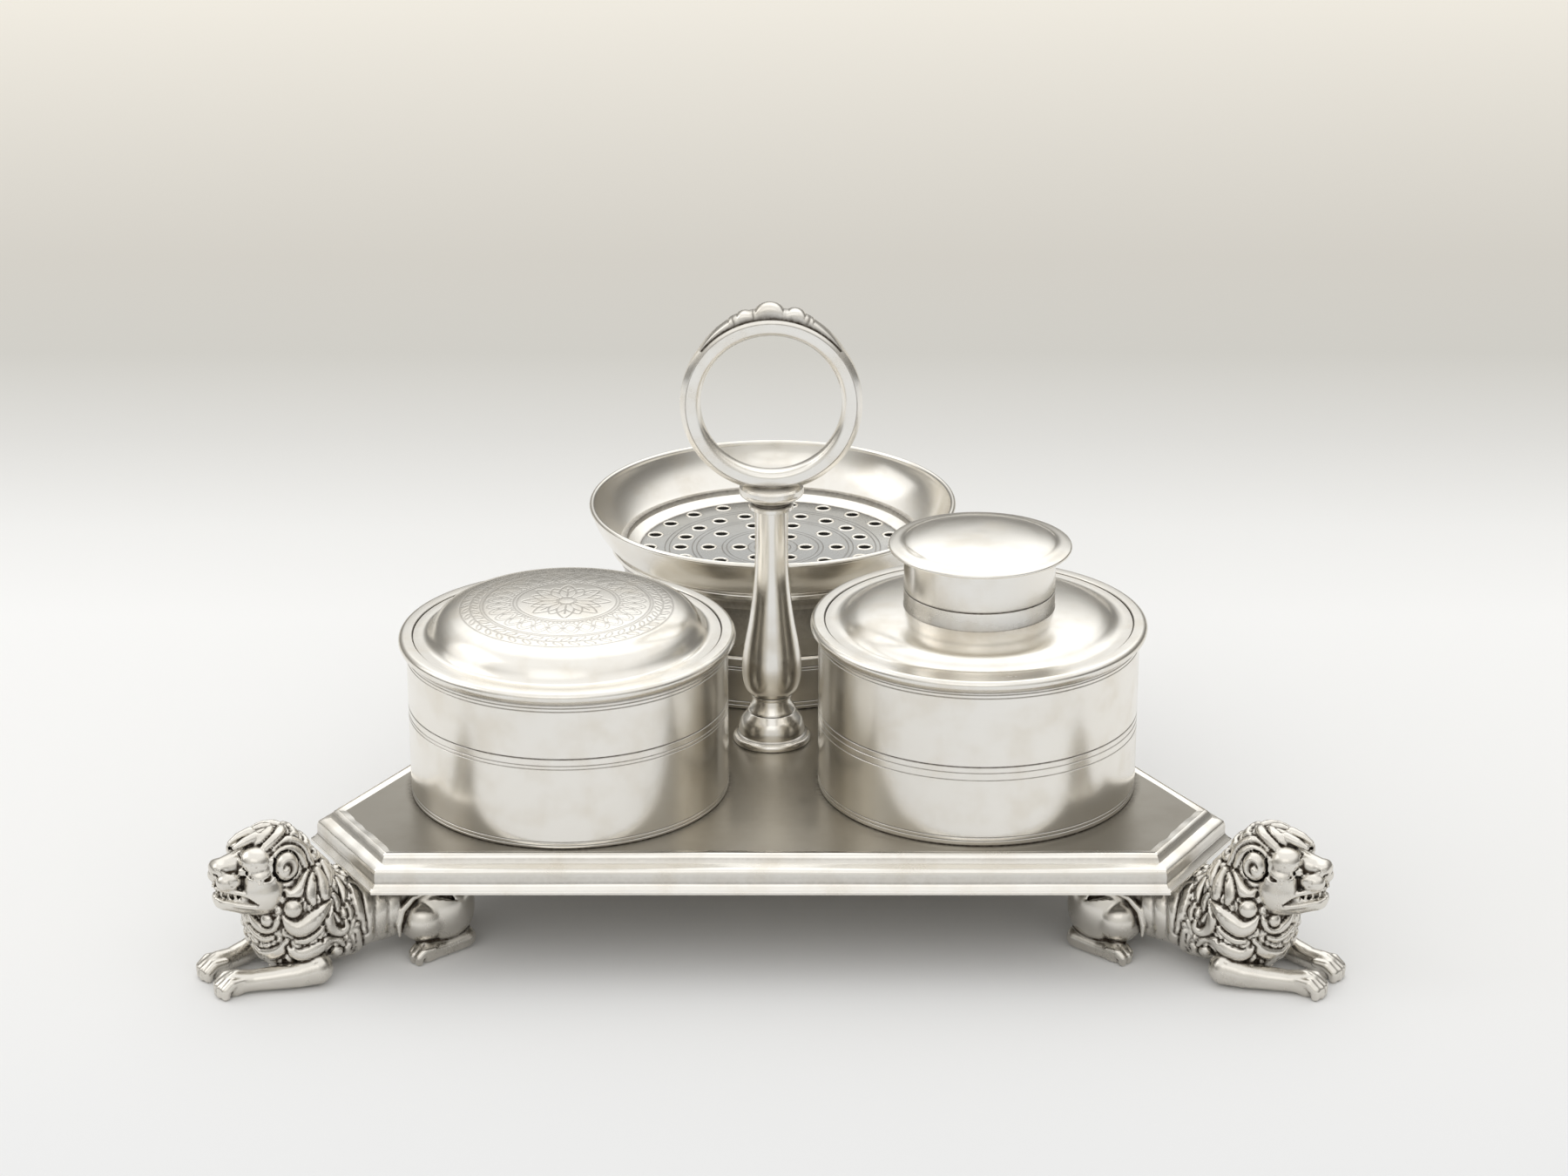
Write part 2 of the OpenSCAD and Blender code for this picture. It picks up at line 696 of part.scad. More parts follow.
// Pierced floor of the caster: a middle hole and four rings of holes.
module caster_sieve() {
    ring_share = [0.25, 0.483, 0.695, 0.932];
    ring_count = [6, 10, 20, 22];
    color(bright_silver) out_at(pot_offset, sander_angle) difference() {
        disc(sieve_r, sieve_t, sieve_z - sieve_t);
        disc(hole_d / 2, sieve_t + 1, sieve_z - sieve_t - 0.5);
        for (ring = [0 : len(ring_count) - 1], i = [0 : ring_count[ring] - 1])
            rotate([0, 0, 360 * i / ring_count[ring]])
                translate([ring_share[ring] * sieve_r, 0, 0])
                    disc(hole_d / 2, sieve_t + 1, sieve_z - sieve_t - 0.5);
    }
}

// Foot of the handle: an upright edge and a low dome.
module handle_foot() {
    bore = stud_r + thread_gap;
    color(silver) turned(concat(
        [[bore, 0], [foot_r, 0], [foot_r, foot_edge_h]],
        swell([foot_r - 0.4, foot_edge_h], [foot_top_r, foot_h], 1.3),
        [[bore, foot_h]]), deck_z);
}

// Turned stem: a hollow waist, a full belly and a long taper.
module handle_baluster() {
    bore = stud_r + thread_gap;
    waist = waist_h;
    belly = waist_h + bulb_h;
    top = belly + stem_l;
    color(silver) turned(concat(
        [[0, stud_in + thread_gap], [bore, stud_in + thread_gap], [bore, 0], [foot_top_r, 0]],
        swell([foot_top_r, 0.2], [waist_r, waist], 0.7),
        swell([waist_r, waist + 0.4], [bulb_r, belly]),
        swell([bulb_r, belly + 0.3], [stem_r, top], 0.8, 14),
        [[0, top]]), foot_z);
}

// Bowl-shaped knop on a thin collar, with a saddle for the finger ring.
module handle_knop() {
    waist = stem_collar_h + 0.3;
    lip = stem_collar_h + knop_h;
    color(silver) difference() {
        turned(concat(
            [[0, 0], [collar_r, 0], [collar_r, stem_collar_h], [collar_r - 0.5, waist]],
            swell([collar_r - 0.5, waist], [knop_r, lip - 1.2], 0.8, 6),
            swell([knop_r, lip - 1], [knop_r - 0.5, lip], 1, 4),
            [[0, lip]]), collar_z);
        ring_band();
    }
}

// Rectangle with round corners.
module rounded_square(size, r) {
    union() {
        translate([r, 0]) square([size.x - 2 * r, size.y]);
        translate([0, r]) square([size.x, size.y - 2 * r]);
        for (x = [r, size.x - r], y = [r, size.y - r]) translate([x, y]) circle(r = r);
    }
}

module ring_band() {
    round_r = 1.1;
    translate([0, 0, ring_z]) rotate([90, 0, 0]) rotate_extrude()
        translate([ring_r - ring_band, -ring_t / 2]) rounded_square([ring_band, ring_t], round_r);
}

module finger_ring() {
    color(silver) ring_band();
}

// Crest on the ring: a crescent of leaf with a middle lobe and two pairs of side lobes.
module ring_crest() {
    leaf_h = 1.2;
    leaf_y = sqrt(ring_r * ring_r - leaf_reach * leaf_reach);
    leaf_top = ring_r + leaf_h;
    leaf_mid = (leaf_top * leaf_top - ring_r * ring_r) / (2 * (leaf_top - leaf_y));
    thick = ring_t - 0.6;
    side_y = ring_r + crest_h - lobe_drop - side_lobe_r;
    color(silver) translate([0, thick / 2, ring_z]) rotate([90, 0, 0]) difference() {
        union() {
            translate([0, leaf_mid, 0]) cylinder(r = leaf_top - leaf_mid, h = thick);
            translate([0, ring_r + crest_h - lobe_r, 0]) cylinder(r = lobe_r, h = thick);
            for (side = [-1, 1]) rotate([0, 0, -side * lobe_turn])
                translate([0, side_y, 0]) cylinder(r = side_lobe_r, h = thick);
        }
        translate([0, 0, -0.5]) cylinder(r = ring_r, h = thick + 1);
        translate([-ring_r * 1.2, -2 * ring_r, -0.5]) cube([ring_r * 2.4, 2 * ring_r, thick + 1]);
    }
}

// Stud from the baluster through the foot and the deck, with its washer and nut below.
module handle_stud() {
    tail = 0.6;
    foot = deck_under - washer_t - nut_t - tail;
    color(steel) disc(stud_r, foot_z + stud_in - foot, foot);
}

module stud_washer() {
    color(steel) tube(washer_r, stud_r + thread_gap, washer_t, deck_under - washer_t);
}

module stud_nut() {
    nut_z = deck_under - washer_t - nut_t;
    color(steel) difference() {
        translate([0, 0, nut_z]) cylinder(d = nut_w / cos(30), h = nut_t, $fn = 6);
        disc(stud_r + thread_gap, nut_t + 1, nut_z - 0.5);
    }
}

tray_deck();
tray_border();
lion_front_left();
lion_front_right();
lion_back();
box_wall();
box_floor();
box_rim();
box_lid();
box_lid_bezel();
ink_wall();
ink_floor();
ink_rim();
ink_liner();
ink_cover();
ink_cover_bezel();
ink_neck();
ink_cap_top();
ink_cap_skirt();
sander_wall();
sander_floor();
sander_collar();
caster_wall();
caster_ring();
caster_dish();
caster_sieve();
handle_foot();
handle_baluster();
handle_knop();
finger_ring();
ring_crest();
handle_stud();
stud_washer();
stud_nut();
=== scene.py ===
"""Silver desk inkstand: a three-cornered tray on couchant lions, with a wafer box, an ink pot and a
sander round a turned handle with a finger ring. Lengths in the classes are millimetres; meshes are
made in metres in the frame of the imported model, whose origin is on the handle's axis at the table."""

import logging
import math
from dataclasses import dataclass, field
from enum import Enum
from typing import Any, Callable, Optional, Sequence, Union

import bmesh
import bpy
import numpy as np
from mathutils import Matrix, Vector
from mathutils.geometry import delaunay_2d_cdt


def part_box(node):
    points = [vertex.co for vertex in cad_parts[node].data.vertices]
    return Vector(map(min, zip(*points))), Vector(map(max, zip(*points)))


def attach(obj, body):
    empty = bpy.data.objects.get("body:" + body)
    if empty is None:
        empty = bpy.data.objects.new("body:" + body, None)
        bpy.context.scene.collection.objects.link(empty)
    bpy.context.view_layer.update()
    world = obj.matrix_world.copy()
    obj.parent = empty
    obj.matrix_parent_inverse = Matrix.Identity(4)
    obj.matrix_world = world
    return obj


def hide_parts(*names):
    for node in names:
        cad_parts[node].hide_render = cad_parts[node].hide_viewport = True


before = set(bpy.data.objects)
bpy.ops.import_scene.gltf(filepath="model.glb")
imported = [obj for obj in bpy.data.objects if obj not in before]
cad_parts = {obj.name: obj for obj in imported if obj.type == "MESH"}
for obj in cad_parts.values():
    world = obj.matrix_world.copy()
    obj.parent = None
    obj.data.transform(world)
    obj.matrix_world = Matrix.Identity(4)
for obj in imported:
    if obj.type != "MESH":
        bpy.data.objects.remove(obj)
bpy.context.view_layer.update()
MM = 0.001
LOG = logging.getLogger("inkstand")
# per-vertex darkness: painted shade in hollows, grooves and where parts meet, and patina on the lions
RECESS = "recess"
POLISHED, CAST_SILVER = "polished_silver", "cast_silver"
CORNERS = (-150.0, -30.0, 90.0)
AXIS = (0.0, 0.0)
BLACK = (0.0, 0.0, 0.0)
ON_AXIS = 1e-6
CUBE = tuple((i, j, k) for i in (0, 1) for j in (0, 1) for k in (0, 1))
Number = Union[float, "Term"]
Row = Sequence[float]
Array = np.ndarray


class Term:
    """A value in a node tree that takes part in Python expressions."""

    def __init__(self, graph: "Graph", socket: bpy.types.NodeSocket) -> None:
        """Wraps an output socket of a graph."""
        self.graph = graph
        self.socket = socket

    def _math(self, operation: str, *operands: Number) -> "Term":
        """Adds one Math node and returns its value."""
        return self.graph.value("ShaderNodeMath", {"operation": operation}, dict(enumerate(operands)))

    def __add__(self, other: Number) -> "Term":
        """Sum."""
        return self._math("ADD", self, other)

    def __sub__(self, other: Number) -> "Term":
        """Difference."""
        return self._math("SUBTRACT", self, other)

    def __rsub__(self, other: Number) -> "Term":
        """Difference with the term on the right."""
        return self._math("SUBTRACT", other, self)

    def __mul__(self, other: Number) -> "Term":
        """Product."""
        return self._math("MULTIPLY", self, other)

    def __pow__(self, other: Number) -> "Term":
        """Power."""
        return self._math("POWER", self, other)

    __radd__ = __add__
    __rmul__ = __mul__

    def bigger(self, other: Number) -> "Term":
        """The bigger of two values."""
        return self._math("MAXIMUM", self, other)

    def clamped(self) -> "Term":
        """The value held between 0 and 1."""
        return self.graph.value("ShaderNodeClamp", {}, {"Value": self})

    def step(self, low: float, high: float) -> "Term":
        """A smooth step from 0 at low to 1 at high."""
        settings = {"interpolation_type": "SMOOTHSTEP"}
        inputs = {"Value": self, "From Min": low, "From Max": high}
        return self.graph.value("ShaderNodeMapRange", settings, inputs)


class Graph:
    """A shader or geometry node tree that is filled by code."""

    def __init__(self, tree: bpy.types.NodeTree) -> None:
        """Takes over an empty tree."""
        self.tree = tree

    def node(self, kind: str, settings: Optional[dict] = None, inputs: Optional[dict] = None) -> Any:
        """Adds a node.

        Args:
            kind: The node's type.
            settings: Its properties; "stops" holds a ramp's (position, colour) pairs.
            inputs: Values, terms or sockets, by the socket's name, identifier or number.

        Returns:
            The node.
        """
        made = self.tree.nodes.new(kind)
        for name, value in (settings or {}).items():
            if name != "stops":
                setattr(made, name, value)
                continue
            ramp = made.color_ramp
            while len(ramp.elements) < len(value):
                ramp.elements.new(1.0)
            for element, (place, colour) in zip(ramp.elements, value):
                element.position = place
                element.color = (*colour, 1.0)
        for key, value in (inputs or {}).items():
            self.feed(self._input(made, key), value)
        return made

    def value(self, kind: str, settings: Optional[dict] = None, inputs: Optional[dict] = None,
              output: Union[int, str] = 0) -> Term:
        """Adds a node and returns one of its outputs as a term."""
        return Term(self, self.node(kind, settings, inputs).outputs[output])

    def feed(self, socket: bpy.types.NodeSocket, value: Any) -> None:
        """Links a socket to a term or another socket, or sets its value."""
        if isinstance(value, Term):
            value = value.socket
        if isinstance(value, bpy.types.NodeSocket):
            self.tree.links.new(value, socket)
        else:
            socket.default_value = value

    @staticmethod
    def _input(made: bpy.types.Node, key: Union[int, str]) -> bpy.types.NodeSocket:
        """Finds an input by number, identifier or name."""
        if isinstance(key, int):
            return made.inputs[key]
        for socket in made.inputs:
            if socket.identifier == key:
                return socket
        return made.inputs[key]

    def mix(self, factor: Number, a: Any, b: Any) -> Term:
        """A colour between two colours."""
        inputs = {"Factor_Float": factor, "A_Color": a, "B_Color": b}
        return self.value("ShaderNodeMix", {"data_type": "RGBA"}, inputs, 2)

    def split(self, vector: Term) -> list[Term]:
        """The three parts of a vector."""
        parts = self.node("ShaderNodeSeparateXYZ", {}, {0: vector})
        return [Term(self, output) for output in parts.outputs]

    def vector(self, operation: str, a: Term, b: Row) -> Term:
        """A vector worked out from two vectors."""
        return self.value("ShaderNodeVectorMath", {"operation": operation}, {0: a, 1: b})

    def bump(self, height: Number) -> Term:
        """A normal bent by a height in millimetres."""
        inputs = {"Height": height, "Distance": MM, "Strength": 1.0}
        return self.value("ShaderNodeBump", {}, inputs)


def rgba(colour: Row) -> tuple:
    """A colour with its alpha."""
    return (*colour, 1.0)


def emptied(owner: Union[bpy.types.Material, bpy.types.World]) -> Graph:
    """The node tree of a material or of the world, without its first nodes."""
    owner.use_nodes = True
    owner.node_tree.nodes.clear()
    return Graph(owner.node_tree)


class Brushing(Enum):
    """How a surface was worked: round its own axis, along its length, or cast and chased."""

    TURNED = "turned"
    STRAIGHT = "straight"
    CAST = "cast"


@dataclass(frozen=True)
class Finish:
    """A surface that is built from shader nodes."""

    name: str

    def material(self) -> bpy.types.Material:
        """Builds the material."""
        made = bpy.data.materials.new(self.name)
        graph = emptied(made)
        place = graph.value("ShaderNodeTexCoord", {}, {}, "Object")
        shader = self._shader(graph, place)
        graph.node("ShaderNodeOutputMaterial", {}, {"Surface": shader.outputs[0]})
        return made

    def _shader(self, graph: Graph, place: Term) -> bpy.types.Node:
        """Adds the surface's nodes, which start from the place, and returns the shader."""
        raise NotImplementedError


@dataclass(frozen=True)
class Silver(Finish):
    """Worn silver whose recesses hold grime, patina and painted shade. Sizes are millimetres, counts are per
    metre.

    Attributes:
        tone, shade, stain: Colours of clean silver, of its duller clouds, and of the grime and painted shade
            in recesses and round feet.
        feet: Axis and radius of each foot that has grime and painted contact shade round it.
        far_darkening: How much darker the silver is made towards the tray's corners, far from the handle.
        rings: Radii of turned rings round the centre.
        wear, wear_share: Where the clouds start and end, and how much they cover.
        fade: Width of the grime and painted shade round a foot.
        ring_edge: How far a ring's slope ends and starts from its middle.
        far: Where that darkening starts and ends, in metres from the handle.
        far_dark: What that darkening leaves of the shade.
    """

    brushing: Brushing
    tone: tuple = (0.86, 0.835, 0.785)
    shade: tuple = (0.74, 0.68, 0.58)
    grime_and_shade: tuple = (0.060, 0.045, 0.032)
    roughness: float = 0.17
    dent_depth: float = 0.05
    dent_count: float = 75.0
    line_depth: float = 0.0016
    line_count: float = 2600.0
    centre: tuple = AXIS
    feet: tuple = ()
    far_darkening: float = 0.0
    rings: tuple = ()
    cloud_count: float = 160.0
    speck_count: float = 1500.0
    wear: tuple = (0.42, 0.75)
    wear_share: float = 0.45
    fade: float = 1.3
    ring_edge: tuple = (0.03, 0.16)
    ring_depth: float = 0.05
    ring_dark: float = 0.45
    far: tuple = (0.036, 0.074)
    far_dark: float = 0.42

    def _shader(self, graph: Graph, place: Term) -> bpy.types.Node:
        """Metal whose colour, roughness and height follow clouds, dents, tool lines, grime and painted shade.
        """
        recess = graph.value("ShaderNodeAttribute", {"attribute_name": RECESS}, {}, "Fac")
        cloud = self._noise(graph, place, self.cloud_count, 4.0)
        speck = self._noise(graph, place, self.speck_count, 3.0)
        dents = self._noise(graph, place, self.dent_count, 1.5)
        lines = self._lines(graph, place)
        # painted shade and patina from each vertex's recess value, mottled with specks like grime
        dirt_and_shade = (recess + recess * (speck - 0.5) * 0.8).clamped()
        # painted contact shade, with grime, round the foot of each pot and of the handle
        for x, y, reach in self.feet:
            dirt_and_shade = dirt_and_shade.bigger(self._foot_grime_and_shade(graph, place, x, y, reach) * (speck * 0.9 - 0.1))
        worn = graph.mix(cloud.step(*self.wear) * self.wear_share, rgba(self.tone), rgba(self.shade))
        # darker towards the tray's corners, away from the handle
        if self.far_darkening:
            far = self._away(graph, place, *AXIS).step(*self.far) * self.far_darkening
            worn = graph.mix(far, worn, rgba([self.far_dark * c for c in self.shade]))
        # recesses and feet are painted towards the dark tone: painted shade with grime
        colour = graph.mix(dirt_and_shade, worn, rgba(self.grime_and_shade))
        rough = self.roughness + cloud.step(0.3, 0.8) * 0.07 + lines * 0.05 + dirt_and_shade * 0.35
        height = dents * self.dent_depth + lines * self.line_depth + speck * 0.0015
        near, wide = self.ring_edge
        # each turned ring is cut in and darkened with painted shade
        for r in self.rings:
            away = self._away(graph, place, *self.centre)
            inside = away.step((r - wide) * MM, (r - near) * MM)
            cut = inside * (1 - away.step((r + near) * MM, (r + wide) * MM))
            height = height - cut * self.ring_depth
            colour = graph.mix(cut * self.ring_dark, colour, rgba(self.grime_and_shade))
        inputs = {"Base Color": colour, "Metallic": 1.0, "Roughness": rough, "Normal": graph.bump(height)}
        return graph.node("ShaderNodeBsdfPrincipled", {}, inputs)

    @staticmethod
    def _away(graph: Graph, place: Term, x: float, y: float) -> Term:
        """Distance in metres from an upright axis given in millimetres."""
        shift = graph.vector("ADD", place, (-x * MM, -y * MM, 0.0))
        level = graph.vector("MULTIPLY", shift, (1.0, 1.0, 0.0))
        return graph.value("ShaderNodeVectorMath", {"operation": "LENGTH"}, {0: level}, "Value")

    def _foot_grime_and_shade(self, graph: Graph, place: Term, x: float, y: float, reach: float) -> Term:
        """Grime and painted contact shade round a foot, from 1 at the foot to 0 a little way off."""
        return 1 - self._away(graph, place, x, y).step(reach * MM, (reach + self.fade) * MM)

    @staticmethod
    def _noise(graph: Graph, place: Any, count: float, detail: float) -> Term:
        """Even noise, from 0 to 1."""
        inputs = {"Vector": place, "Scale": count, "Detail": detail, "Roughness": 0.55}
        return graph.value("ShaderNodeTexNoise", {}, inputs)

    def _lines(self, graph: Graph, place: Term) -> Term:
        """Fine tool lines in the direction of the work."""
        if self.brushing is Brushing.CAST:
            hair = graph.vector("MULTIPLY", place, (1.0, 1.0, 0.3))
            return self._noise(graph, hair, self.line_count, 2.0)
        x, y, z = graph.split(graph.vector("ADD", place, (-self.centre[0] * MM, -self.centre[1] * MM, 0.0)))
        if self.brushing is Brushing.TURNED:
            across = [(x * x + y * y) ** 0.5, z, x * 0.02]
        else:
            across = [x * 0.03, y * 0.8, z]
        stretched = graph.value("ShaderNodeCombineXYZ", {}, dict(enumerate(across)))
        return self._noise(graph, stretched, self.line_count, 2.0)


@dataclass(frozen=True)
class Glass(Finish):
    """Plain moulded glass with a faint green tint and soft waves."""

    tint: tuple = (0.90, 0.96, 0.94)
    clearness: float = 0.92
    bending: float = 1.5

    def _shader(self, graph: Graph, place: Term) -> bpy.types.Node:
        """Clear glass whose height and roughness follow one noise."""
        waves = graph.value("ShaderNodeTexNoise", {}, {"Vector": place, "Scale": 90.0, "Detail": 1.0})
        return graph.node("ShaderNodeBsdfPrincipled", {}, {
            "Base Color": rgba(self.tint), "Roughness": waves * 0.06 + 0.03,
            "Normal": graph.bump(waves * 0.05), "Transmission Weight": self.clearness, "IOR": self.bending})


@dataclass(frozen=True)
class Backdrop(Finish):
    """Paper sweep under and behind the stand: pale, and a little greyer in the distance, its tones painting
    the fall of light and shade over the sweep.
    """

    name: str = "paper_sweep"
    start: float = -0.2
    length: float = 1.0
    # painted light and shade: bright bands where the lamps fall and a grey band beyond the stand
    tones: tuple = (
        (0.00, (0.832, 0.848, 0.875)), (0.08, (0.832, 0.837, 0.848)), (0.16, (0.875, 0.875, 0.875)),
        (0.31, (0.918, 0.918, 0.918)), (0.36, (0.864, 0.864, 0.859)), (0.42, (0.734, 0.729, 0.713)),
        (0.48, (0.637, 0.626, 0.594)), (0.56, (0.659, 0.637, 0.594)), (0.85, (0.864, 0.832, 0.767)))

    def _shader(self, graph: Graph, place: Term) -> bpy.types.Node:
        """Matt paper, coloured by its distance along Y with painted light and shade."""
        share = (graph.split(place)[1] - self.start) * (1 / self.length)
        colour = graph.value("ShaderNodeValToRGB", {"stops": self.tones}, {0: share})
        return graph.node("ShaderNodeBsdfDiffuse", {}, {"Color": colour, "Roughness": 0.5})


def make_object(name: str, points: Array, faces: Sequence, recess: Optional[Array] = None,
                crease: float = 35.0, outward: bool = True) -> bpy.types.Object:
    """Makes a smooth mesh object from points in millimetres.

    Args:
        name: The object's name.
        points: Vertices, one row each.
        faces: Vertex numbers of each face.
        recess: How dark each vertex is painted, from 0 to 1, as shade in hollows and grooves and as patina on
            the lions.
        crease: Edges sharper than this angle in degrees stay sharp.
        outward: Whether the normals are worked out again, on a closed shape.

    Returns:
        The object, at the origin.
    """
    mesh = bpy.data.meshes.new(name)
    mesh.from_pydata([tuple(p) for p in np.asarray(points, float) * MM], [], [tuple(f) for f in faces])
    if recess is not None:
        layer = mesh.attributes.new(RECESS, "FLOAT", "POINT")
        layer.data.foreach_set("value", np.asarray(recess, np.float32))
    made = bpy.data.objects.new(name, mesh)
    bpy.context.scene.collection.objects.link(made)
    if outward:
        work = bmesh.new()
        work.from_mesh(mesh)
        bmesh.ops.recalc_face_normals(work, faces=work.faces)
        work.to_mesh(mesh)
        work.free()
    mesh.shade_smooth()
    mesh.set_sharp_from_angle(angle=math.radians(crease))
    return made


def smoothed(values: Array, steps: Array) -> Array:
    """Values on a smooth curve through the given rows, at row numbers that may lie between two rows."""
    padded = np.concatenate([2 * values[:1] - values[1:2], values, 2 * values[-1:] - values[-2:-1]])
    first = np.minimum(steps.astype(int), len(values) - 2)
    t = (steps - first)[:, None]
    a, b, c, d = (padded[first + i] for i in range(4))
    return 0.5 * (2 * b + (c - a) * t + (2 * a - 5 * b + 4 * c - d) * t ** 2
                  + (3 * b - a - 3 * c + d) * t ** 3)


class Profile:
    """Half section of a turned piece, in millimetres: radius, height and darkness of each point; the darkness
    is painted shade in corners, grooves and undersides.
    """

    def __init__(self) -> None:
        """Starts an empty section."""
        self.points: list[tuple[float, float, float, float]] = []

    def to(self, r: float, z: float, fillet: float = 0.0, dark: float = 0.0) -> "Profile":
        """Goes on to a point, whose corner may be rounded and which may be painted dark as shade."""
        self.points.append((r, z, dark, fillet))
        return self

    def arc(self, centre: Row, radius: float, start: float, end: float,
            steps: int = 10, dark: float = 0.0) -> "Profile":
        """Goes on along an arc between two angles in degrees."""
        for i in range(steps + 1):
            angle = math.radians(start + (end - start) * i / steps)
            self.to(centre[0] + radius * math.cos(angle), centre[1] + radius * math.sin(angle), 0.0, dark)
        return self

    def curve(self, points: Sequence[Row], lift: float = 0.0, steps: int = 5) -> "Profile":
        """Goes on along a smooth curve through points, whose heights are counted from a level."""
        count = len(points) - 1
        for r, z in smoothed(np.array(points, float), np.linspace(0, count, count * steps + 1)):
            self.to(max(r, 0.0), z + lift)
        return self

    def groove(self, r: float, z: float, width: float = 0.2, depth: float = 0.06,
               dark: float = 0.3) -> "Profile":
        """Cuts a groove round an upright wall, on the way up, with painted shade in it."""
        rise = ((-0.8, 0, 0), (-0.5, 0, 0.2), (-0.2, 1, 1))
        for reach, cut, shade in rise + tuple((-reach, cut, shade) for reach, cut, shade in rise[::-1]):
            self.to(r - depth * cut, z + reach * width, 0.0, shade * dark)
        return self

    def outline(self) -> Array:
        """The section's points with their corners rounded: radius, height, darkness."""
        rows = []
        for i, (r, z, dark, fillet) in enumerate(self.points):
            if not fillet or i in (0, len(self.points) - 1):
                rows.append((r, z, dark))
                continue
            here = np.array([r, z])
            before = np.array(self.points[i - 1][:2]) - here
            after = np.array(self.points[i + 1][:2]) - here
            reach = min(fillet, 0.49 * np.linalg.norm(before), 0.49 * np.linalg.norm(after))
            a = here + before / np.linalg.norm(before) * reach
            b = here + after / np.linalg.norm(after) * reach
            for t in np.linspace(0, 1, 6):
                point = (1 - t) ** 2 * a + 2 * t * (1 - t) * here + t ** 2 * b
                rows.append((point[0], point[1], dark))
        return np.array(rows)


def turned(name: str, profile: Profile, centre: Row = AXIS, segments: int = 192,
           relief: Optional[Callable] = None, upright: bool = True) -> bpy.types.Object:
    """Spins a section round an axis into a closed solid.

    Args:
        name: The object's name.
        profile: The section, closed by the axis or by its own last point.
        centre: The axis's x and y, or x and z when it lies level.
        segments: Steps round the axis.
        relief: From radii and angles to a rise in millimetres and a painted darkness, for engraved work.
        upright: Whether the axis is Z; otherwise it is the level Y axis.

    Returns:
        The object.
    """
    rows = profile.outline()
    angles = np.linspace(0, 2 * math.pi, segments, endpoint=False)
    points, recess, rings = [], [], []
    for r, z, dark in rows:
        if r < ON_AXIS:
            rings.append([len(points)])
            points.append((0.0, 0.0, z))
            recess.append(dark)
            continue
        rise, shade = relief(np.full(segments, r), angles, z) if relief else (0.0, 0.0)
        rings.append(list(range(len(points), len(points) + segments)))
        ring = np.stack([r * np.cos(angles), r * np.sin(angles), np.full(segments, z) + rise], 1)
        points.extend(map(tuple, ring))
        recess.extend(np.maximum(np.full(segments, dark), shade))
    faces = []
    for low, high in zip(rings, rings[1:] + (rings[:1] if rows[0][0] > ON_AXIS else [])):
        if len(low) == len(high) == 1:
            continue
        for i in range(segments):
            k = (i + 1) % segments
            if len(low) == 1:
                faces.append((low[0], high[k], high[i]))
            elif len(high) == 1:
                faces.append((low[i], low[k], high[0]))
            else:
                faces.append((low[i], low[k], high[k], high[i]))
    points = np.array(points, float)
    if upright:
        points[:, :2] += centre
    else:
        points = np.stack([points[:, 0] + centre[0], points[:, 2], points[:, 1] + centre[1]], 1)
    return make_object(name, points, faces, np.array(recess))


def dress(piece: bpy.types.Object, body: str, finish: bpy.types.Material, slot: str,
          *replaced: str) -> bpy.types.Object:
    """Gives a piece its material and body, and hides the solids that it stands for."""
    piece.data.materials.clear()
    piece.data.materials.append(finish)
    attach(piece, body)
    if replaced:
        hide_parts(*replaced)
    LOG.info("%s rides on %s, %d faces", piece.name, body, len(piece.data.polygons))
    return piece


@dataclass(frozen=True)
class Solid:
    """The box of a solid of the model, in millimetres."""

    low: Array
    high: Array

    @classmethod
    def of(cls, node: str) -> "Solid":
        """Measures the solid of a node."""
        low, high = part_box(node)
        return cls(np.array(low) / MM, np.array(high) / MM)

    @property
    def foot(self) -> float:
        """Height of its lowest place."""
        return self.low[2]

    @property
    def top(self) -> float:
        """Height of its highest place."""
        return self.high[2]

    @property
    def radius(self) -> float:
        """Half its length along X."""
        return (self.high[0] - self.low[0]) / 2

    @property
    def centre(self) -> tuple:
        """Its middle seen from above."""
        return tuple((self.low[:2] + self.high[:2]) / 2)


def dress_solid(node: str, finish: bpy.types.Material) -> None:
    """Gives a solid that stays in view its finish."""
    solid = bpy.data.objects[node]
    solid.data.materials.clear()
    solid.data.materials.append(finish)


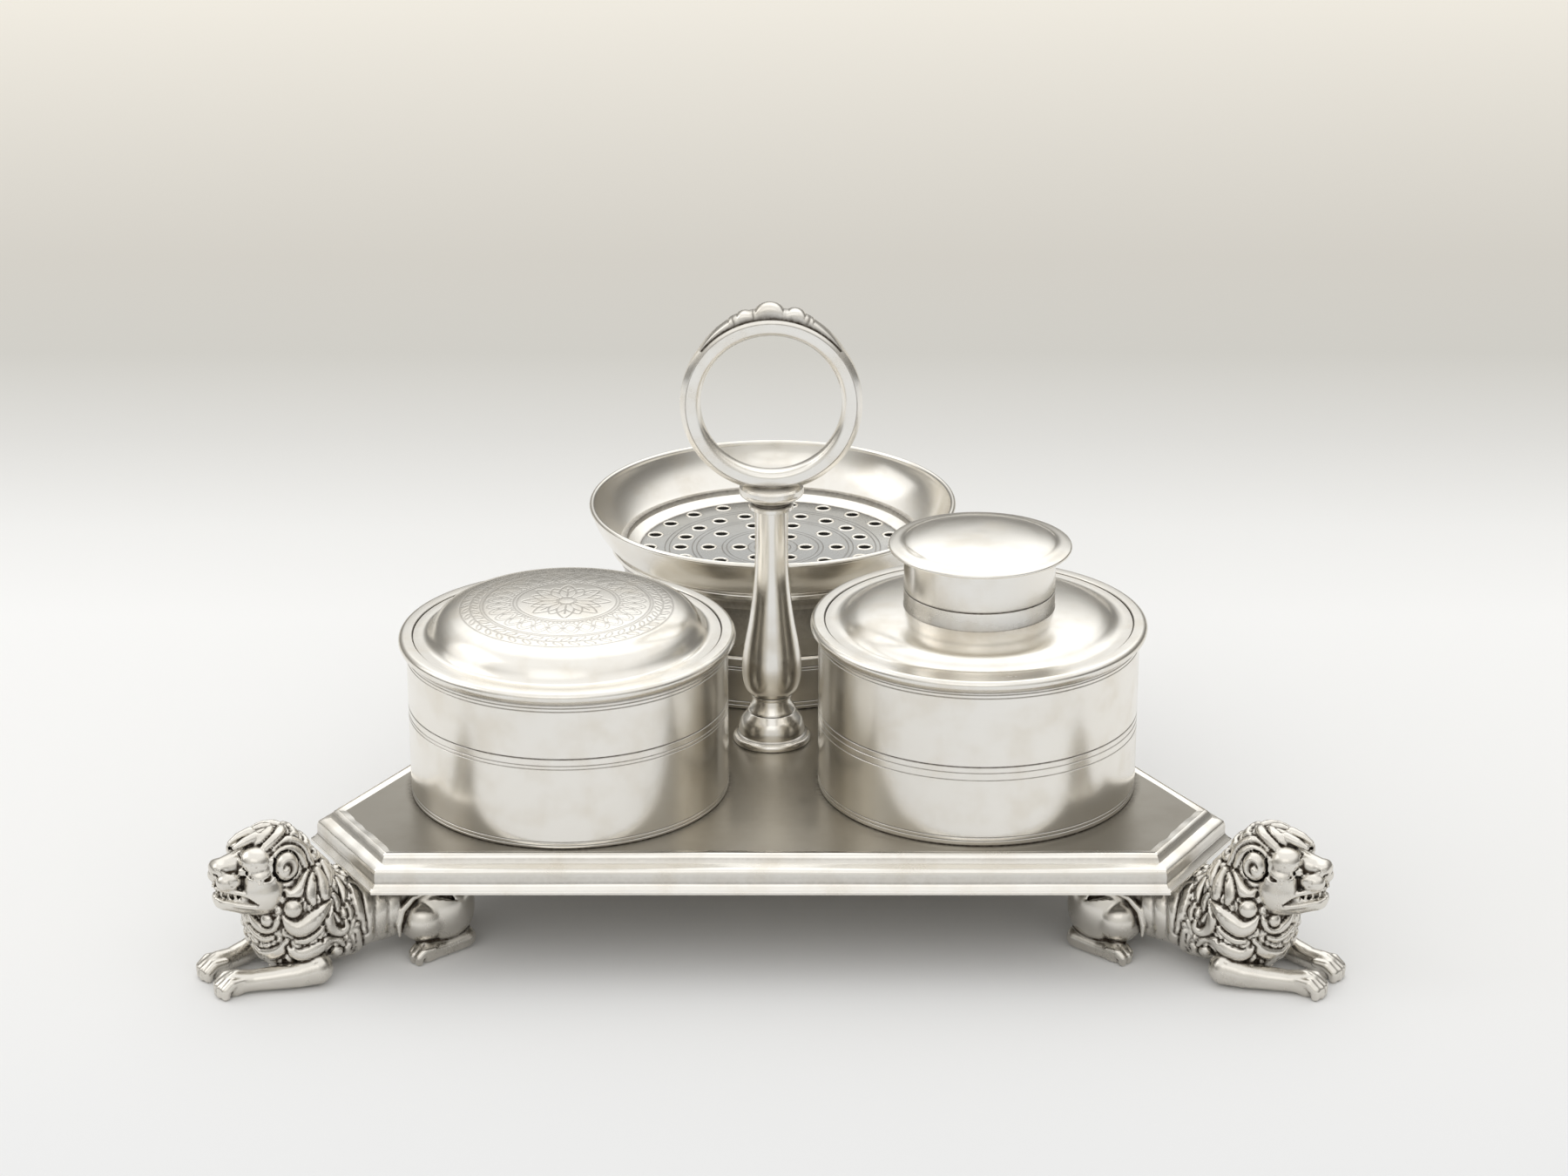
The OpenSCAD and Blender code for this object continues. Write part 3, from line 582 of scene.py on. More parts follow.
class Clay:
    """A solid that is modelled as signed depths on a grid, in millimetres, and then skinned."""

    OUTSIDE = 3.0
    LEAF_EDGE = 0.5
    LINE_DEPTH, LINE_WIDTH, LINE_FROM = 0.2, 0.16, 0.45

    def __init__(self, low: Row, high: Row, cell: float) -> None:
        """Starts an empty grid between two corners."""
        self.low = np.array(low, np.float32)
        self.cell = cell
        counts = np.ceil((np.array(high) - self.low) / cell).astype(int) + 1
        self.axes = [self.low[i] + cell * np.arange(counts[i], dtype=np.float32) for i in range(3)]
        self.depth = np.full(tuple(counts), self.OUTSIDE, np.float32)
        self.mass = self.depth
        self.raised = np.zeros_like(self.depth)

    def _work(self, low: Array, high: Array, shape: Callable, blend: float, cut: bool) -> None:
        """Adds or cuts a shape, given as a function of x, y and z, inside a box."""
        spans, places = self._window(low - blend, high + blend)
        if not spans:
            return
        here = self.depth[spans]
        there = shape(*places)
        sign = 1.0
        if cut:
            here, there, sign = -here, there, -1.0
        share = np.clip(0.5 + 0.5 * (there - here) / max(blend, 1e-4), 0, 1)
        self.depth[spans] = sign * (there + (here - there) * share - blend * share * (1 - share))

    def _window(self, low: Array, high: Array) -> tuple[tuple, list]:
        """The grid's cells inside a box, and their x, y and z; empty where the box misses the grid."""
        spans = []
        for i in range(3):
            first = int(np.searchsorted(self.axes[i], low[i] - 2 * self.cell))
            last = int(np.searchsorted(self.axes[i], high[i] + 2 * self.cell))
            if last <= first:
                return (), []
            spans.append(slice(first, last))
        x, y, z = (self.axes[i][spans[i]] for i in range(3))
        return tuple(spans), [x[:, None, None], y[None, :, None], z[None, None, :]]

    def ball(self, centre: Row, radius: float, blend: float = 0.4, cut: bool = False) -> None:
        """A ball."""
        self.blob(centre, (radius, radius, radius), blend, cut)

    def blob(self, centre: Row, radii: Row, blend: float = 0.4,
             cut: bool = False, lean: float = 0.0) -> None:
        """An egg whose long axis may lean in the upright plane, by an angle in degrees."""
        c, r = np.array(centre, float), np.array(radii, float)
        reach = np.array([max(r[0], r[2]), r[1], max(r[0], r[2])]) if lean else r
        cosine, sine = math.cos(math.radians(lean)), math.sin(math.radians(lean))

        def shape(x: Array, y: Array, z: Array) -> Array:
            """Depth under the egg's skin."""
            dx, dy, dz = x - c[0], y - c[1], z - c[2]
            along, up = (dx * cosine + dz * sine) / r[0], (dz * cosine - dx * sine) / r[2]
            side = dy / r[1]
            near = np.sqrt(along ** 2 + side ** 2 + up ** 2) + 1e-6
            slope = np.sqrt((along / r[0]) ** 2 + (side / r[1]) ** 2 + (up / r[2]) ** 2) + 1e-6
            return near * (near - 1) / slope

        self._work(c - reach, c + reach, shape, blend, cut)

    def strand(self, path: Array, radii: Row, blend: float = 0.25,
               cut: bool = False) -> None:
        """A tapering strand along points, or the groove that it would leave."""
        p = np.array(path, float)
        r = np.array(radii, float)

        def shape(x: Array, y: Array, z: Array) -> Array:
            """Depth under the strand's skin."""
            gap, width = self._nearest(p, r, x, y, z)
            return gap - width

        self._work((p - r[:, None]).min(0), (p + r[:, None]).max(0), shape, blend, cut)

    @staticmethod
    def _nearest(p: Array, r: Array, x: Array, y: Array,
                 z: Array) -> tuple[Array, Array]:
        """Distance to the nearest place on a line of points, and the line's width there."""
        best, gap, width = None, None, None
        for a, b, ra, rb in zip(p[:-1], p[1:], r[:-1], r[1:]):
            run = b - a
            share = (x - a[0]) * run[0] + (y - a[1]) * run[1] + (z - a[2]) * run[2]
            share = np.clip(share / (run @ run + 1e-9), 0, 1)
            away = np.sqrt((x - a[0] - share * run[0]) ** 2 + (y - a[1] - share * run[1]) ** 2
                           + (z - a[2] - share * run[2]) ** 2)
            wide = ra + (rb - ra) * share
            if best is None:
                best, gap, width = away - wide, away, wide
                continue
            closer = away - wide < best
            best = np.where(closer, away - wide, best)
            gap, width = np.where(closer, away, gap), np.where(closer, wide, width)
        return gap, width

    def block(self, low: Row, high: Row, blend: float = 0.0,
              cut: bool = False) -> None:
        """A square block."""
        middle, half = (np.array(low) + high) / 2, (np.array(high) - low) / 2

        def shape(x: Array, y: Array, z: Array) -> Array:
            """Depth under the block's faces."""
            return np.maximum(np.maximum(abs(x - middle[0]) - half[0], abs(y - middle[1]) - half[1]),
                              abs(z - middle[2]) - half[2])

        self._work(np.array(low, float), np.array(high, float), shape, blend, cut)

    def start_relief(self) -> None:
        """Takes the masses as they are now as the ground of the relief."""
        self.mass = self.depth.copy()

    def settle(self, places: Array) -> Array:
        """Moves places onto the skin of the masses."""
        places = np.array(places, float)
        top = np.array(self.mass.shape) - 2
        for _ in range(5):
            cells = np.clip(np.round((places - self.low) / self.cell).astype(int), 1, top)
            rises = [self.mass[tuple((cells + e).T)] - self.mass[tuple((cells - e).T)]
                     for e in np.eye(3, dtype=int)]
            slope = np.stack([rise / (2 * self.cell) for rise in rises], 1)
            off = places - (self.low + cells * self.cell)
            value = self.mass[tuple(cells.T)] + (slope * off).sum(1)
            places = places - (value / ((slope ** 2).sum(1) + 1e-6))[:, None] * slope
        return places

    def leaf(self, path: Array, widths: Array, height: float, groove: float = 0.45,
             lines: Row = ()) -> None:
        """A leaf of hair on the masses: a rounded band over what was there, with a groove round it.

        Args:
            path: Places on the skin.
            widths: Half the leaf's width at each place.
            height: How high a band of 1 mm half width rises.
            groove: Depth of the groove.
            lines: Engraved lines along the leaf, as shares of its half width.
        """
        reach = widths.max() + self.LEAF_EDGE
        spans, places = self._window(path.min(0) - reach, path.max(0) + reach)
        if not spans:
            return
        gap, width = self._nearest(path, widths, *places)
        share = gap / width
        band = height * width ** 0.7 * np.sqrt(np.clip(1 - share ** 2, 0, 1))
        for at in lines:
            line = np.exp(-((gap - at * width) / self.LINE_WIDTH) ** 2)
            band = band - self.LINE_DEPTH * line * (width > self.LINE_FROM)
        here = self.raised[spans]
        out = np.clip((gap - width) / self.LEAF_EDGE, 0, 1)
        beside = here * out - groove * (1 - out)
        self.raised[spans] = np.where(gap < width, band - groove * np.clip(share * 4 - 3, 0, 1) * 0.5,
                                      np.where(out < 1, np.minimum(beside, here), here))

    def drill(self, place: Array, size: float, deep: float) -> None:
        """A small round hole in the relief."""
        spans, places = self._window(place - size, place + size)
        gap = np.sqrt(sum((p - c) ** 2 for p, c in zip(places, place)))
        self.raised[spans] -= deep * np.clip(1.6 - 1.6 * gap / size, 0, 1)

    def finish_relief(self) -> None:
        """Lays the relief on the masses."""
        self.depth = self.mass - np.where(self.mass < 2.0, self.raised, 0)

    def mirror(self) -> None:
        """Adds the other half, beyond the plane where y is 0."""
        self.depth = np.concatenate([self.depth[:, :0:-1], self.depth], axis=1)
        self.axes[1] = np.concatenate([-self.axes[1][:0:-1], self.axes[1]])
        self.low = np.array([axis[0] for axis in self.axes], np.float32)

    def skin(self) -> tuple[Array, Array]:
        """The surface as points and four-sided faces, one point in each cell that it crosses."""
        depth, inside = self.depth, self.depth < 0
        shape = tuple(n - 1 for n in depth.shape)
        full = sum(inside[i:i + shape[0], j:j + shape[1], k:k + shape[2]].astype(np.int8)
                   for i, j, k in CUBE)
        cells = np.argwhere((full > 0) & (full < 8))
        number = np.full(shape, -1, np.int64)
        number[tuple(cells.T)] = np.arange(len(cells))
        total, count = np.zeros((len(cells), 3)), np.zeros((len(cells), 1))
        for a in CUBE:
            for axis in range(3):
                if a[axis]:
                    continue
                b = tuple(a[i] + (i == axis) for i in range(3))
                da, db = depth[tuple((cells + a).T)], depth[tuple((cells + b).T)]
                crossed = ((da < 0) != (db < 0))[:, None]
                share = (da / np.where(da == db, 1, da - db))[:, None]
                total += crossed * (np.array(a) + share * (np.array(b) - a))
                count += crossed
        points = self.low + (cells + total / np.maximum(count, 1)) * self.cell
        quads = []
        for axis in range(3):
            lower = [slice(1, -1)] * 3
            lower[axis] = slice(0, -1)
            upper = list(lower)
            upper[axis] = slice(1, None)
            changed = np.argwhere(inside[tuple(lower)] != inside[tuple(upper)])
            changed += [0 if i == axis else 1 for i in range(3)]
            u, v = np.eye(3, dtype=int)[(axis + 1) % 3], np.eye(3, dtype=int)[(axis + 2) % 3]
            ring = [number[tuple((changed - s).T)] for s in (u * 0, u, u + v, v)]
            quad = np.stack(ring, 1)
            leaving = inside[tuple(changed.T)]
            quads.append(np.where(leaving[:, None], quad, quad[:, ::-1]))
        return points, np.concatenate(quads)

    def hollowness(self, points: Array, reach: float) -> Array:
        """How deep each point lies in a hollow: 0 on a flat or a ridge, up to 1 in a crevice."""
        filled = np.clip(0.5 - self.depth / self.cell, 0, 1).astype(np.float32)
        half = max(1, int(round(reach / self.cell)))
        for axis in range(3):
            width = [(0, 0)] * 3
            width[axis] = (half + 1, half)
            total = np.cumsum(np.pad(filled, width, mode="edge"), axis=axis, dtype=np.float32)
            size = filled.shape[axis]
            top = np.take(total, range(2 * half + 1, 2 * half + 1 + size), axis=axis)
            filled = (top - np.take(total, range(size), axis=axis)) / (2 * half + 1)
        return np.clip(2 * self._between(filled, points) - 1, 0, 1)

    def _between(self, values: Array, points: Array) -> Array:
        """Grid values at points, blended from the eight cells round each."""
        at = (points - self.low) / self.cell
        first = np.clip(np.floor(at).astype(int), 0, np.array(values.shape) - 2)
        share = np.clip(at - first, 0, 1)
        found = np.zeros(len(points))
        for corner in map(np.array, CUBE):
            weight = np.prod(np.where(corner, share, 1 - share), axis=1)
            found += weight * values[tuple((first + corner).T)]
        return found


@dataclass
class Lion:
    """A couchant lion foot, modelled on the X axis with its face outwards. Lengths are millimetres.

    Only the half with y above 0 is modelled, and then mirrored. A lock is a row of places: its
    distance from the handle, its distance from the middle plane, its height and half its width.
    """

    reach: float = 104.8
    rump: float = 59.2
    half: float = 10.4
    height: float = 26.8
    tray_under: float = 15.9
    deck_under: float = 20.4
    tray_edge: float = 81.6
    cell: float = 0.25
    rows: tuple = ((22.5, 85.0), (19.2, 84.4), (16.2, 84.2), (13.2, 84.0), (10.2, 84.2), (7.2, 84.8),
                   (4.6, 86.0))
    side_locks: tuple = (
        ((82.7, 3.1, 15.5, 0.6), (82.4, 4.7, 14.3, 0.7), (82.8, 6.2, 12.9, 0.4)),
        ((82.5, 6.4, 12.5, 0.4), (82.1, 7.1, 11.3, 0.5), (82.7, 7.7, 9.9, 0.35)),
        ((85.0, 2.0, 20.6, 0.5), (84.6, 3.4, 19.2, 0.8), (84.6, 4.6, 17.4, 0.8), (85.2, 5.2, 16.2, 0.5)),
        ((91.2, 7.7, 15.2, 0.5), (90.2, 7.5, 16.3, 0.66), (89.0, 7.2, 16.9, 0.7)),
        ((88.3, 5.4, 19.5, 0.45), (89.5, 6.5, 18.4, 1.0), (90.9, 7.1, 17.2, 1.1), (92.0, 6.9, 16.7, 0.95),
         (92.7, 6.3, 17.3, 0.55)),
        ((86.8, 4.5, 20.2, 0.4), (86.5, 5.6, 18.7, 0.95), (86.3, 6.5, 17.1, 1.2), (86.3, 7.2, 15.6, 1.05),
         (86.0, 7.4, 14.5, 0.7), (85.3, 7.0, 14.2, 0.45)),
        ((87.8, 5.7, 18.9, 0.4), (88.5, 6.8, 17.6, 0.9), (89.0, 7.5, 16.2, 0.95), (88.7, 8.1, 14.8, 0.5)),
        ((87.2, 8.4, 10.5, 0.35), (88.9, 8.5, 9.4, 0.5), (90.6, 8.3, 8.7, 0.6), (92.1, 7.9, 8.8, 0.4)),
        ((93.4, 7.3, 9.0, 0.5), (94.1, 6.3, 7.1, 0.95), (95.2, 4.2, 5.6, 1.2), (96.0, 2.1, 5.4, 0.95),
         (96.6, 0.9, 6.5, 0.5)),
        ((95.3, 5.7, 9.3, 0.5), (96.1, 4.3, 8.6, 0.65), (96.8, 2.7, 8.9, 0.65), (97.2, 1.2, 9.8, 0.5)),
        ((94.3, 6.7, 12.9, 0.5), (95.2, 5.8, 11.2, 0.85), (96.2, 4.3, 10.6, 0.9), (97.0, 2.7, 11.2, 0.8),
         (97.2, 1.4, 12.2, 0.5)),
        ((83.8, 7.4, 5.9, 0.45), (84.7, 7.5, 7.2, 0.65), (86.4, 7.6, 7.4, 0.95), (88.4, 7.8, 6.6, 1.4),
         (90.4, 7.6, 5.9, 1.5), (92.0, 7.3, 6.3, 1.1), (93.0, 7.2, 7.6, 0.55)),
        ((85.1, 7.0, 13.9, 0.5), (86.0, 7.8, 12.7, 0.85), (86.1, 7.9, 10.9, 0.95), (85.4, 7.7, 9.1, 0.9),
         (84.1, 7.7, 8.4, 0.7), (83.1, 7.6, 9.1, 0.5), (83.2, 7.4, 10.2, 0.35)),
        ((85.6, 7.4, 13.9, 0.4), (86.5, 7.9, 13.6, 0.8), (87.9, 8.4, 12.9, 1.25), (89.6, 8.6, 11.9, 1.6),
         (91.5, 8.3, 11.0, 1.45), (92.9, 7.7, 11.7, 1.05), (93.6, 7.1, 13.2, 0.5)),
        ((86.9, 7.2, 3.6, 0.6), (88.4, 7.4, 3.6, 0.75), (89.9, 7.3, 3.4, 0.65), (91.4, 7.2, 3.8, 0.45)))
    crown_locks: tuple = (
        ((85.2, 0.6, 20.6, 0.6), (85.2, 1.5, 20.2, 0.8), (86.0, 3.2, 20.6, 0.7), (86.6, 4.2, 21.6, 0.45)),
        ((86.9, 0.5, 23.2, 0.6), (86.8, 1.7, 22.7, 0.85), (87.4, 3.4, 22.6, 0.8), (88.0, 4.4, 23.0, 0.45)),
        ((88.9, 0.5, 25.0, 0.6), (88.9, 1.8, 24.7, 0.8), (89.6, 3.0, 24.8, 0.75), (90.6, 3.2, 25.0, 0.4)),
        ((87.0, 4.5, 20.2, 0.5), (87.4, 4.0, 21.8, 0.8), (88.5, 3.8, 23.2, 0.95), (90.0, 3.7, 24.4, 1.0),
         (91.6, 3.8, 24.8, 0.9), (93.0, 4.2, 24.2, 0.7), (93.8, 4.6, 23.3, 0.4)),
        ((88.6, 5.0, 20.2, 0.5), (88.9, 4.8, 21.7, 0.75), (89.9, 4.7, 23.0, 0.9), (91.4, 4.7, 23.6, 0.9),
         (93.0, 4.8, 23.0, 0.95), (94.0, 5.1, 21.8, 0.8), (94.1, 5.4, 20.6, 0.5)),
        ((90.6, 0.6, 26.0, 0.6), (91.4, 1.9, 25.9, 0.9), (92.8, 2.8, 25.6, 1.0), (94.2, 3.3, 24.8, 0.9),
         (95.2, 3.6, 23.9, 0.5)),
        ((92.4, 0.5, 26.3, 0.5), (93.4, 1.4, 26.2, 0.8), (94.8, 2.0, 25.6, 0.8), (96.0, 2.2, 24.9, 0.5)))

    def mesh(self) -> tuple[Array, Array, Array]:
        """Models the lion.

        Returns:
            Points, faces and darkness, for a lion that faces along +X; the darkness is patina and painted
            shade in the hollows.
        """
        top = (self.reach + 1.2, self.half + 1.2, self.height + 1.8)
        clay = Clay((self.rump - 1.5, 0, -1.2), top, self.cell)
        self._masses(clay)
        clay.start_relief()
        self._ribs(clay)
        self._tufts(clay)
        for lock in self.side_locks + self.crown_locks:
            self._lock(clay, lock)
        self._curls(clay)
        clay.finish_relief()
        self._head(clay)
        self._mouth(clay)
        self._eye(clay)
        self._ear(clay)
        self._haunch(clay)
        self._legs(clay)
        clay.block((self.rump - 4, -15, self.tray_under), (self.tray_edge, 15, self.height + 4), cut=True)
        clay.block((63.8, -4, 9), (72.8, 4, self.deck_under), blend=0.1)
        clay.block((0, -30, -8), (200, 30, 0), cut=True)
        clay.mirror()
        points, faces = clay.skin()
        # darkness of the hollows: patina in the narrow crevices and painted shade spread over the wider
        # hollows
        fine, broad = clay.hollowness(points, 0.5), clay.hollowness(points, 1.1)
        dark = np.clip(fine * 4.0 - 0.2, 0, 1) + np.clip(broad * 2.6 - 0.3, 0, 1)
        return points, faces, np.clip(dark, 0, 1)

    @staticmethod
    def _masses(clay: Clay) -> None:
        """The plain masses that carry the hair: body, haunch, ruff and skull."""
        clay.blob((76, 0, 8.9), (13.5, 7.4, 6.6), 1.0)
        clay.blob((83, 0, 8.4), (7, 7.9, 7.4), 2.0)
        clay.blob((65.6, 4.1, 7.3), (6.3, 5.7, 6.9), 0.8)
        clay.blob((89.4, 0, 11.0), (8.0, 8.7, 11.0), 0.8)
        clay.blob((92.2, 0, 19.8), (6.4, 5.8, 6.3), 1.0)

    def _lock(self, clay: Clay, lock: Sequence, height: float = 0.78, groove: float = 0.5) -> None:
        """One leaf of hair, smoothed and laid on the masses."""
        steps = np.linspace(0, len(lock) - 1, 4 * len(lock) - 3)
        fine = smoothed(np.array(lock, float), steps)
        lines = (0.0, 0.42, 0.78) if max(place[3] for place in lock) > 1.0 else (0.0, 0.5)
        clay.leaf(clay.settle(fine[:, :3]), np.maximum(fine[:, 3], 0.25), height, groove, lines)

    def _tufts(self, clay: Clay) -> None:
        """Small hooked tufts all over the mane, that show between the large locks."""
        for row, (height, back) in enumerate(self.rows):
            for i in range(9):
                turn = math.radians(-86 + 20 * (i + 0.5 * (row % 2)))
                x, y = 90.0 - 9 * math.sin(turn) * (back < 90), 9.5 * math.cos(turn)
                lean = 1.0 if i % 2 else -0.6
                tuft = [(x, y, height + 1.6, 0.5), (x + 0.3 * lean, y, height + 0.4, 0.8),
                        (x - 0.3 * lean, y, height - 0.9, 0.7), (x + 0.4 * lean, y, height - 1.8, 0.35)]
                self._lock(clay, tuft, 0.6, 0.35)

    def _ribs(self, clay: Clay) -> None:
        """Soft bands over the ribs."""
        for i, x in enumerate((74.2, 76.6, 79.0, 81.4)):
            band = [(x - 0.9, 5.5, 14.0, 0.7), (x, 7.3, 11.0, 1.0), (x + 0.3, 7.6, 8.0, 1.0),
                    (x - 0.4, 6.4, 4.6, 0.7)]
            fine = smoothed(np.array(band, float), np.linspace(0, 3, 10))
            clay.leaf(clay.settle(fine[:, :3]), fine[:, 3], 0.24 + 0.02 * i, 0.03)

    @staticmethod
    def _curls(clay: Clay) -> None:
        """Round curl ends with a ring, and drilled eyes in the mane."""
        for *place, size in ((92.2, 7.6, 14.5, 1.55), (84.7, 6.6, 4.4, 1.15), (95.8, 5.0, 12.2, 1.1)):
            path = np.repeat(clay.settle([place]), 2, 0) + [[0, 0, 0], [0.02, 0, 0]]
            clay.leaf(path, np.array([size, size]), 0.8, 0.5, (0.66,))
        for *place, size in (
                (90.2, 8.5, 10.5, 0.5), (88.4, 8.0, 14.2, 0.5), (86.6, 7.9, 12.0, 0.35),
                (87.6, 7.8, 7.9, 0.4), (92.9, 7.4, 7.7, 0.5), (84.3, 7.6, 9.8, 0.45),
                (93.3, 6.3, 17.0, 0.35), (91.0, 7.4, 15.8, 0.4), (88.0, 6.4, 17.9, 0.4),
                (96.0, 4.6, 9.6, 0.45), (94.6, 6.0, 8.4, 0.4)):
            clay.drill(clay.settle([place])[0], size, 0.9)

    @staticmethod
    def _head(clay: Clay) -> None:
        """Cheek, muzzle, nose, lips, jaw and the forelock that stands out like a peak."""
        clay.blob((95.2, 2.9, 16.6), (3.7, 3.8, 4.0), 0.15)
        clay.blob((95.6, 3.4, 19.2), (2.9, 2.6, 2.6), 0.6)
        clay.strand([(96.6, 0, 20.9), (101.3, 0, 20.5)], (2.5, 1.7), 0.5)
        clay.blob((101.5, 0.75, 20.8), (1.35, 1.25, 1.2), 0.35)
        clay.blob((100.4, 1.75, 18.9), (2.25, 1.75, 1.65), 0.3)
        clay.strand([(95.2, 2.6, 14.9), (98.2, 2.0, 14.9), (101.0, 1.1, 15.1)], (2.7, 2.0, 1.35), 0.6)
        clay.strand([(94.8, 0, 14.4), (101.2, 0, 14.9)], (2.6, 1.3), 0.5)
        clay.blob((102.35, 0.95, 20.1), (0.5, 0.55, 0.5), 0.15, cut=True)
        clay.strand([(102.4, 1.2, 21.1), (101.3, 1.9, 21.0), (100.3, 2.2, 20.5), (99.3, 2.5, 20.9)],
                    (0.12, 0.24, 0.24, 0.1), 0.15, cut=True)
        clay.strand([(102.8, 0, 19.9), (102.4, 0, 17.6)], (0.2, 0.25), 0.1, cut=True)
        for x, y, z in ((100.9, 3.35, 19.4), (100.1, 3.45, 19.1), (100.6, 3.4, 18.6), (99.7, 3.4, 18.3)):
            clay.ball((x, y, z), 0.22, 0.05, cut=True)
        clay.strand([(95.4, 1.1, 25.2), (97.3, 1.2, 24.8), (99.0, 1.0, 24.1)], (0.9, 0.72, 0.4), 0.1)
        clay.strand([(95.2, 0.2, 26.2), (97.4, 0.2, 25.6), (99.4, 0.2, 24.5)], (0.3, 0.3, 0.2), 0.1, cut=True)

    @staticmethod
    def _mouth(clay: Clay) -> None:
        """The open mouth, the rim of the lips and the teeth."""
        lips = [(102.3, 0.5, 17.5), (101.1, 2.2, 17.5), (99.6, 3.3, 17.3), (98.0, 4.2, 16.8),
                (96.9, 5.0, 16.1), (96.7, 5.3, 15.4), (97.3, 5.0, 14.9), (98.7, 4.2, 15.0),
                (100.2, 3.0, 15.2), (101.6, 1.6, 15.5), (102.3, 0.4, 15.8)]
        clay.strand(lips, (0.4, 0.42, 0.45, 0.45, 0.48, 0.5, 0.45, 0.42, 0.42, 0.4, 0.4), 0.18)
        slot = np.array([(103.0, 0.2, 16.7), (101.3, 2.3, 16.5), (99.5, 3.8, 16.2), (98.0, 4.9, 15.8),
                         (97.4, 5.6, 15.5)])
        clay.strand(slot, (0.75, 0.72, 0.66, 0.5, 0.3), 0.08, cut=True)
        clay.strand(slot * [1, 0.7, 1] - [1.0, 0, 0], (0.7, 0.7, 0.6, 0.5, 0.3), 0.08, cut=True)
        for x, y, z in ((101.6, 1.1, 17.2), (100.8, 2.0, 17.1), (99.9, 2.7, 16.9), (98.9, 3.4, 16.6)):
            clay.strand([(x, y, z), (x + 0.05, y, z - 0.75)], (0.36, 0.24), 0.08)
            clay.strand([(x - 0.4, y + 0.1, z - 1.7), (x - 0.4, y + 0.1, z - 1.2)], (0.34, 0.22), 0.08)

    @staticmethod
    def _eye(clay: Clay) -> None:
        """The heavy lid, the creases under it and the curl at its inner corner."""
        rim = [(94.2, 4.9, 23.4), (93.7, 5.3, 22.0), (94.1, 5.7, 20.5), (95.4, 5.7, 19.5), (96.9, 5.1, 19.4),
               (98.1, 4.1, 20.2)]
        clay.blob((96.1, 2.5, 21.9), (2.8, 2.8, 2.35), 0.1, lean=4)
        clay.strand(rim, (0.2, 0.3, 0.36, 0.36, 0.32, 0.2), 0.08, cut=True)
        clay.strand([(x - 0.1, y - 0.1, z - 0.8) for x, y, z in rim[2:5]], (0.3, 0.42, 0.3), 0.3)
        clay.strand([(98.2, 0.8, 22.9), (98.5, 2.4, 22.6), (98.2, 3.6, 21.6)], (0.25, 0.3, 0.2), 0.1,
                    cut=True)
        clay.ball((98.6, 3.0, 20.6), 0.95, 0.08, cut=True)
        clay.ball((98.6, 2.9, 20.6), 0.72, 0.1)
        clay.ball((98.8, 3.6, 20.7), 0.28, 0.05, cut=True)
        for i in range(4):
            crease = [(94.8 + 0.55 * i, 5.6 - 0.12 * i, 20.9 + 0.4 * i),
                      (96.6 + 0.35 * i, 5.35 - 0.2 * i, 20.9 + 0.45 * i)]
            clay.strand(crease, (0.1, 0.1), 0.04, cut=True)

    @staticmethod
    def _ear(clay: Clay) -> None:
        """The oval ear with its hollow."""
        middle = np.array([92.1, 5.3, 21.1])
        clay.blob(middle, (2.3, 2.0, 2.7), 0.1, cut=True, lean=12)
        clay.blob(middle, (1.95, 1.95, 2.35), 0.1, lean=12)
        clay.blob(middle + [0.1, 1.75, 0.1], (1.15, 0.9, 1.5), 0.1, cut=True, lean=12)
        clay.blob(middle + [0.45, 1.1, -0.4], (0.65, 0.7, 0.95), 0.15, lean=30)

    @staticmethod
    def _haunch(clay: Clay) -> None:
        """The thigh, the fold above it, the knee and the heel."""
        fold = [(63.4, 8.6, 8.4), (65.2, 8.8, 10.6), (67.8, 8.6, 11.5), (70.4, 8.2, 10.8), (72.4, 8.1, 8.9),
                (73.2, 8.4, 6.6), (73.2, 8.6, 4.8)]
        clay.blob((69.0, 5.8, 6.6), (4.0, 4.2, 4.0), 0.3)
        clay.strand(fold, (0.15, 0.4, 0.55, 0.6, 0.55, 0.5, 0.3), 0.2, cut=True)
        clay.strand([(x + 0.9, y - 0.7, z + 0.6) for x, y, z in fold[2:]], (0.3, 0.5, 0.55, 0.5, 0.3), 0.3)
        clay.strand([(62.2, 7.0, 2.0), (66.5, 7.8, 1.6), (69.6, 8.1, 1.7)], (1.9, 1.6, 1.8), 0.3)
        clay.strand([(62.6, 8.9, 3.6), (66.0, 9.9, 3.4), (69.6, 9.9, 3.7)], (0.2, 0.32, 0.25), 0.12, cut=True)

    def _legs(self, clay: Clay) -> None:
        """The foreleg on the table and both paws."""
        foreleg = [(88.6, 7.4, 3.0), (91.6, 6.9, 2.5), (95.2, 5.7, 2.2), (98.4, 4.6, 2.05),
                   (100.8, 3.9, 2.15)]
        crease = [(88.4, 9.2, 5.0), (90.2, 8.9, 4.9), (92.4, 8.0, 4.6), (95.0, 6.8, 4.2)]
        clay.strand(foreleg, (2.7, 2.2, 1.9, 1.75, 1.95), 0.25)
        clay.strand(crease, (0.1, 0.22, 0.2, 0.1), 0.15, cut=True)
        self._paw(clay, (101.9, 3.65), 2.05, 4)
        self._paw(clay, (70.2, 8.2), 1.7, 3)

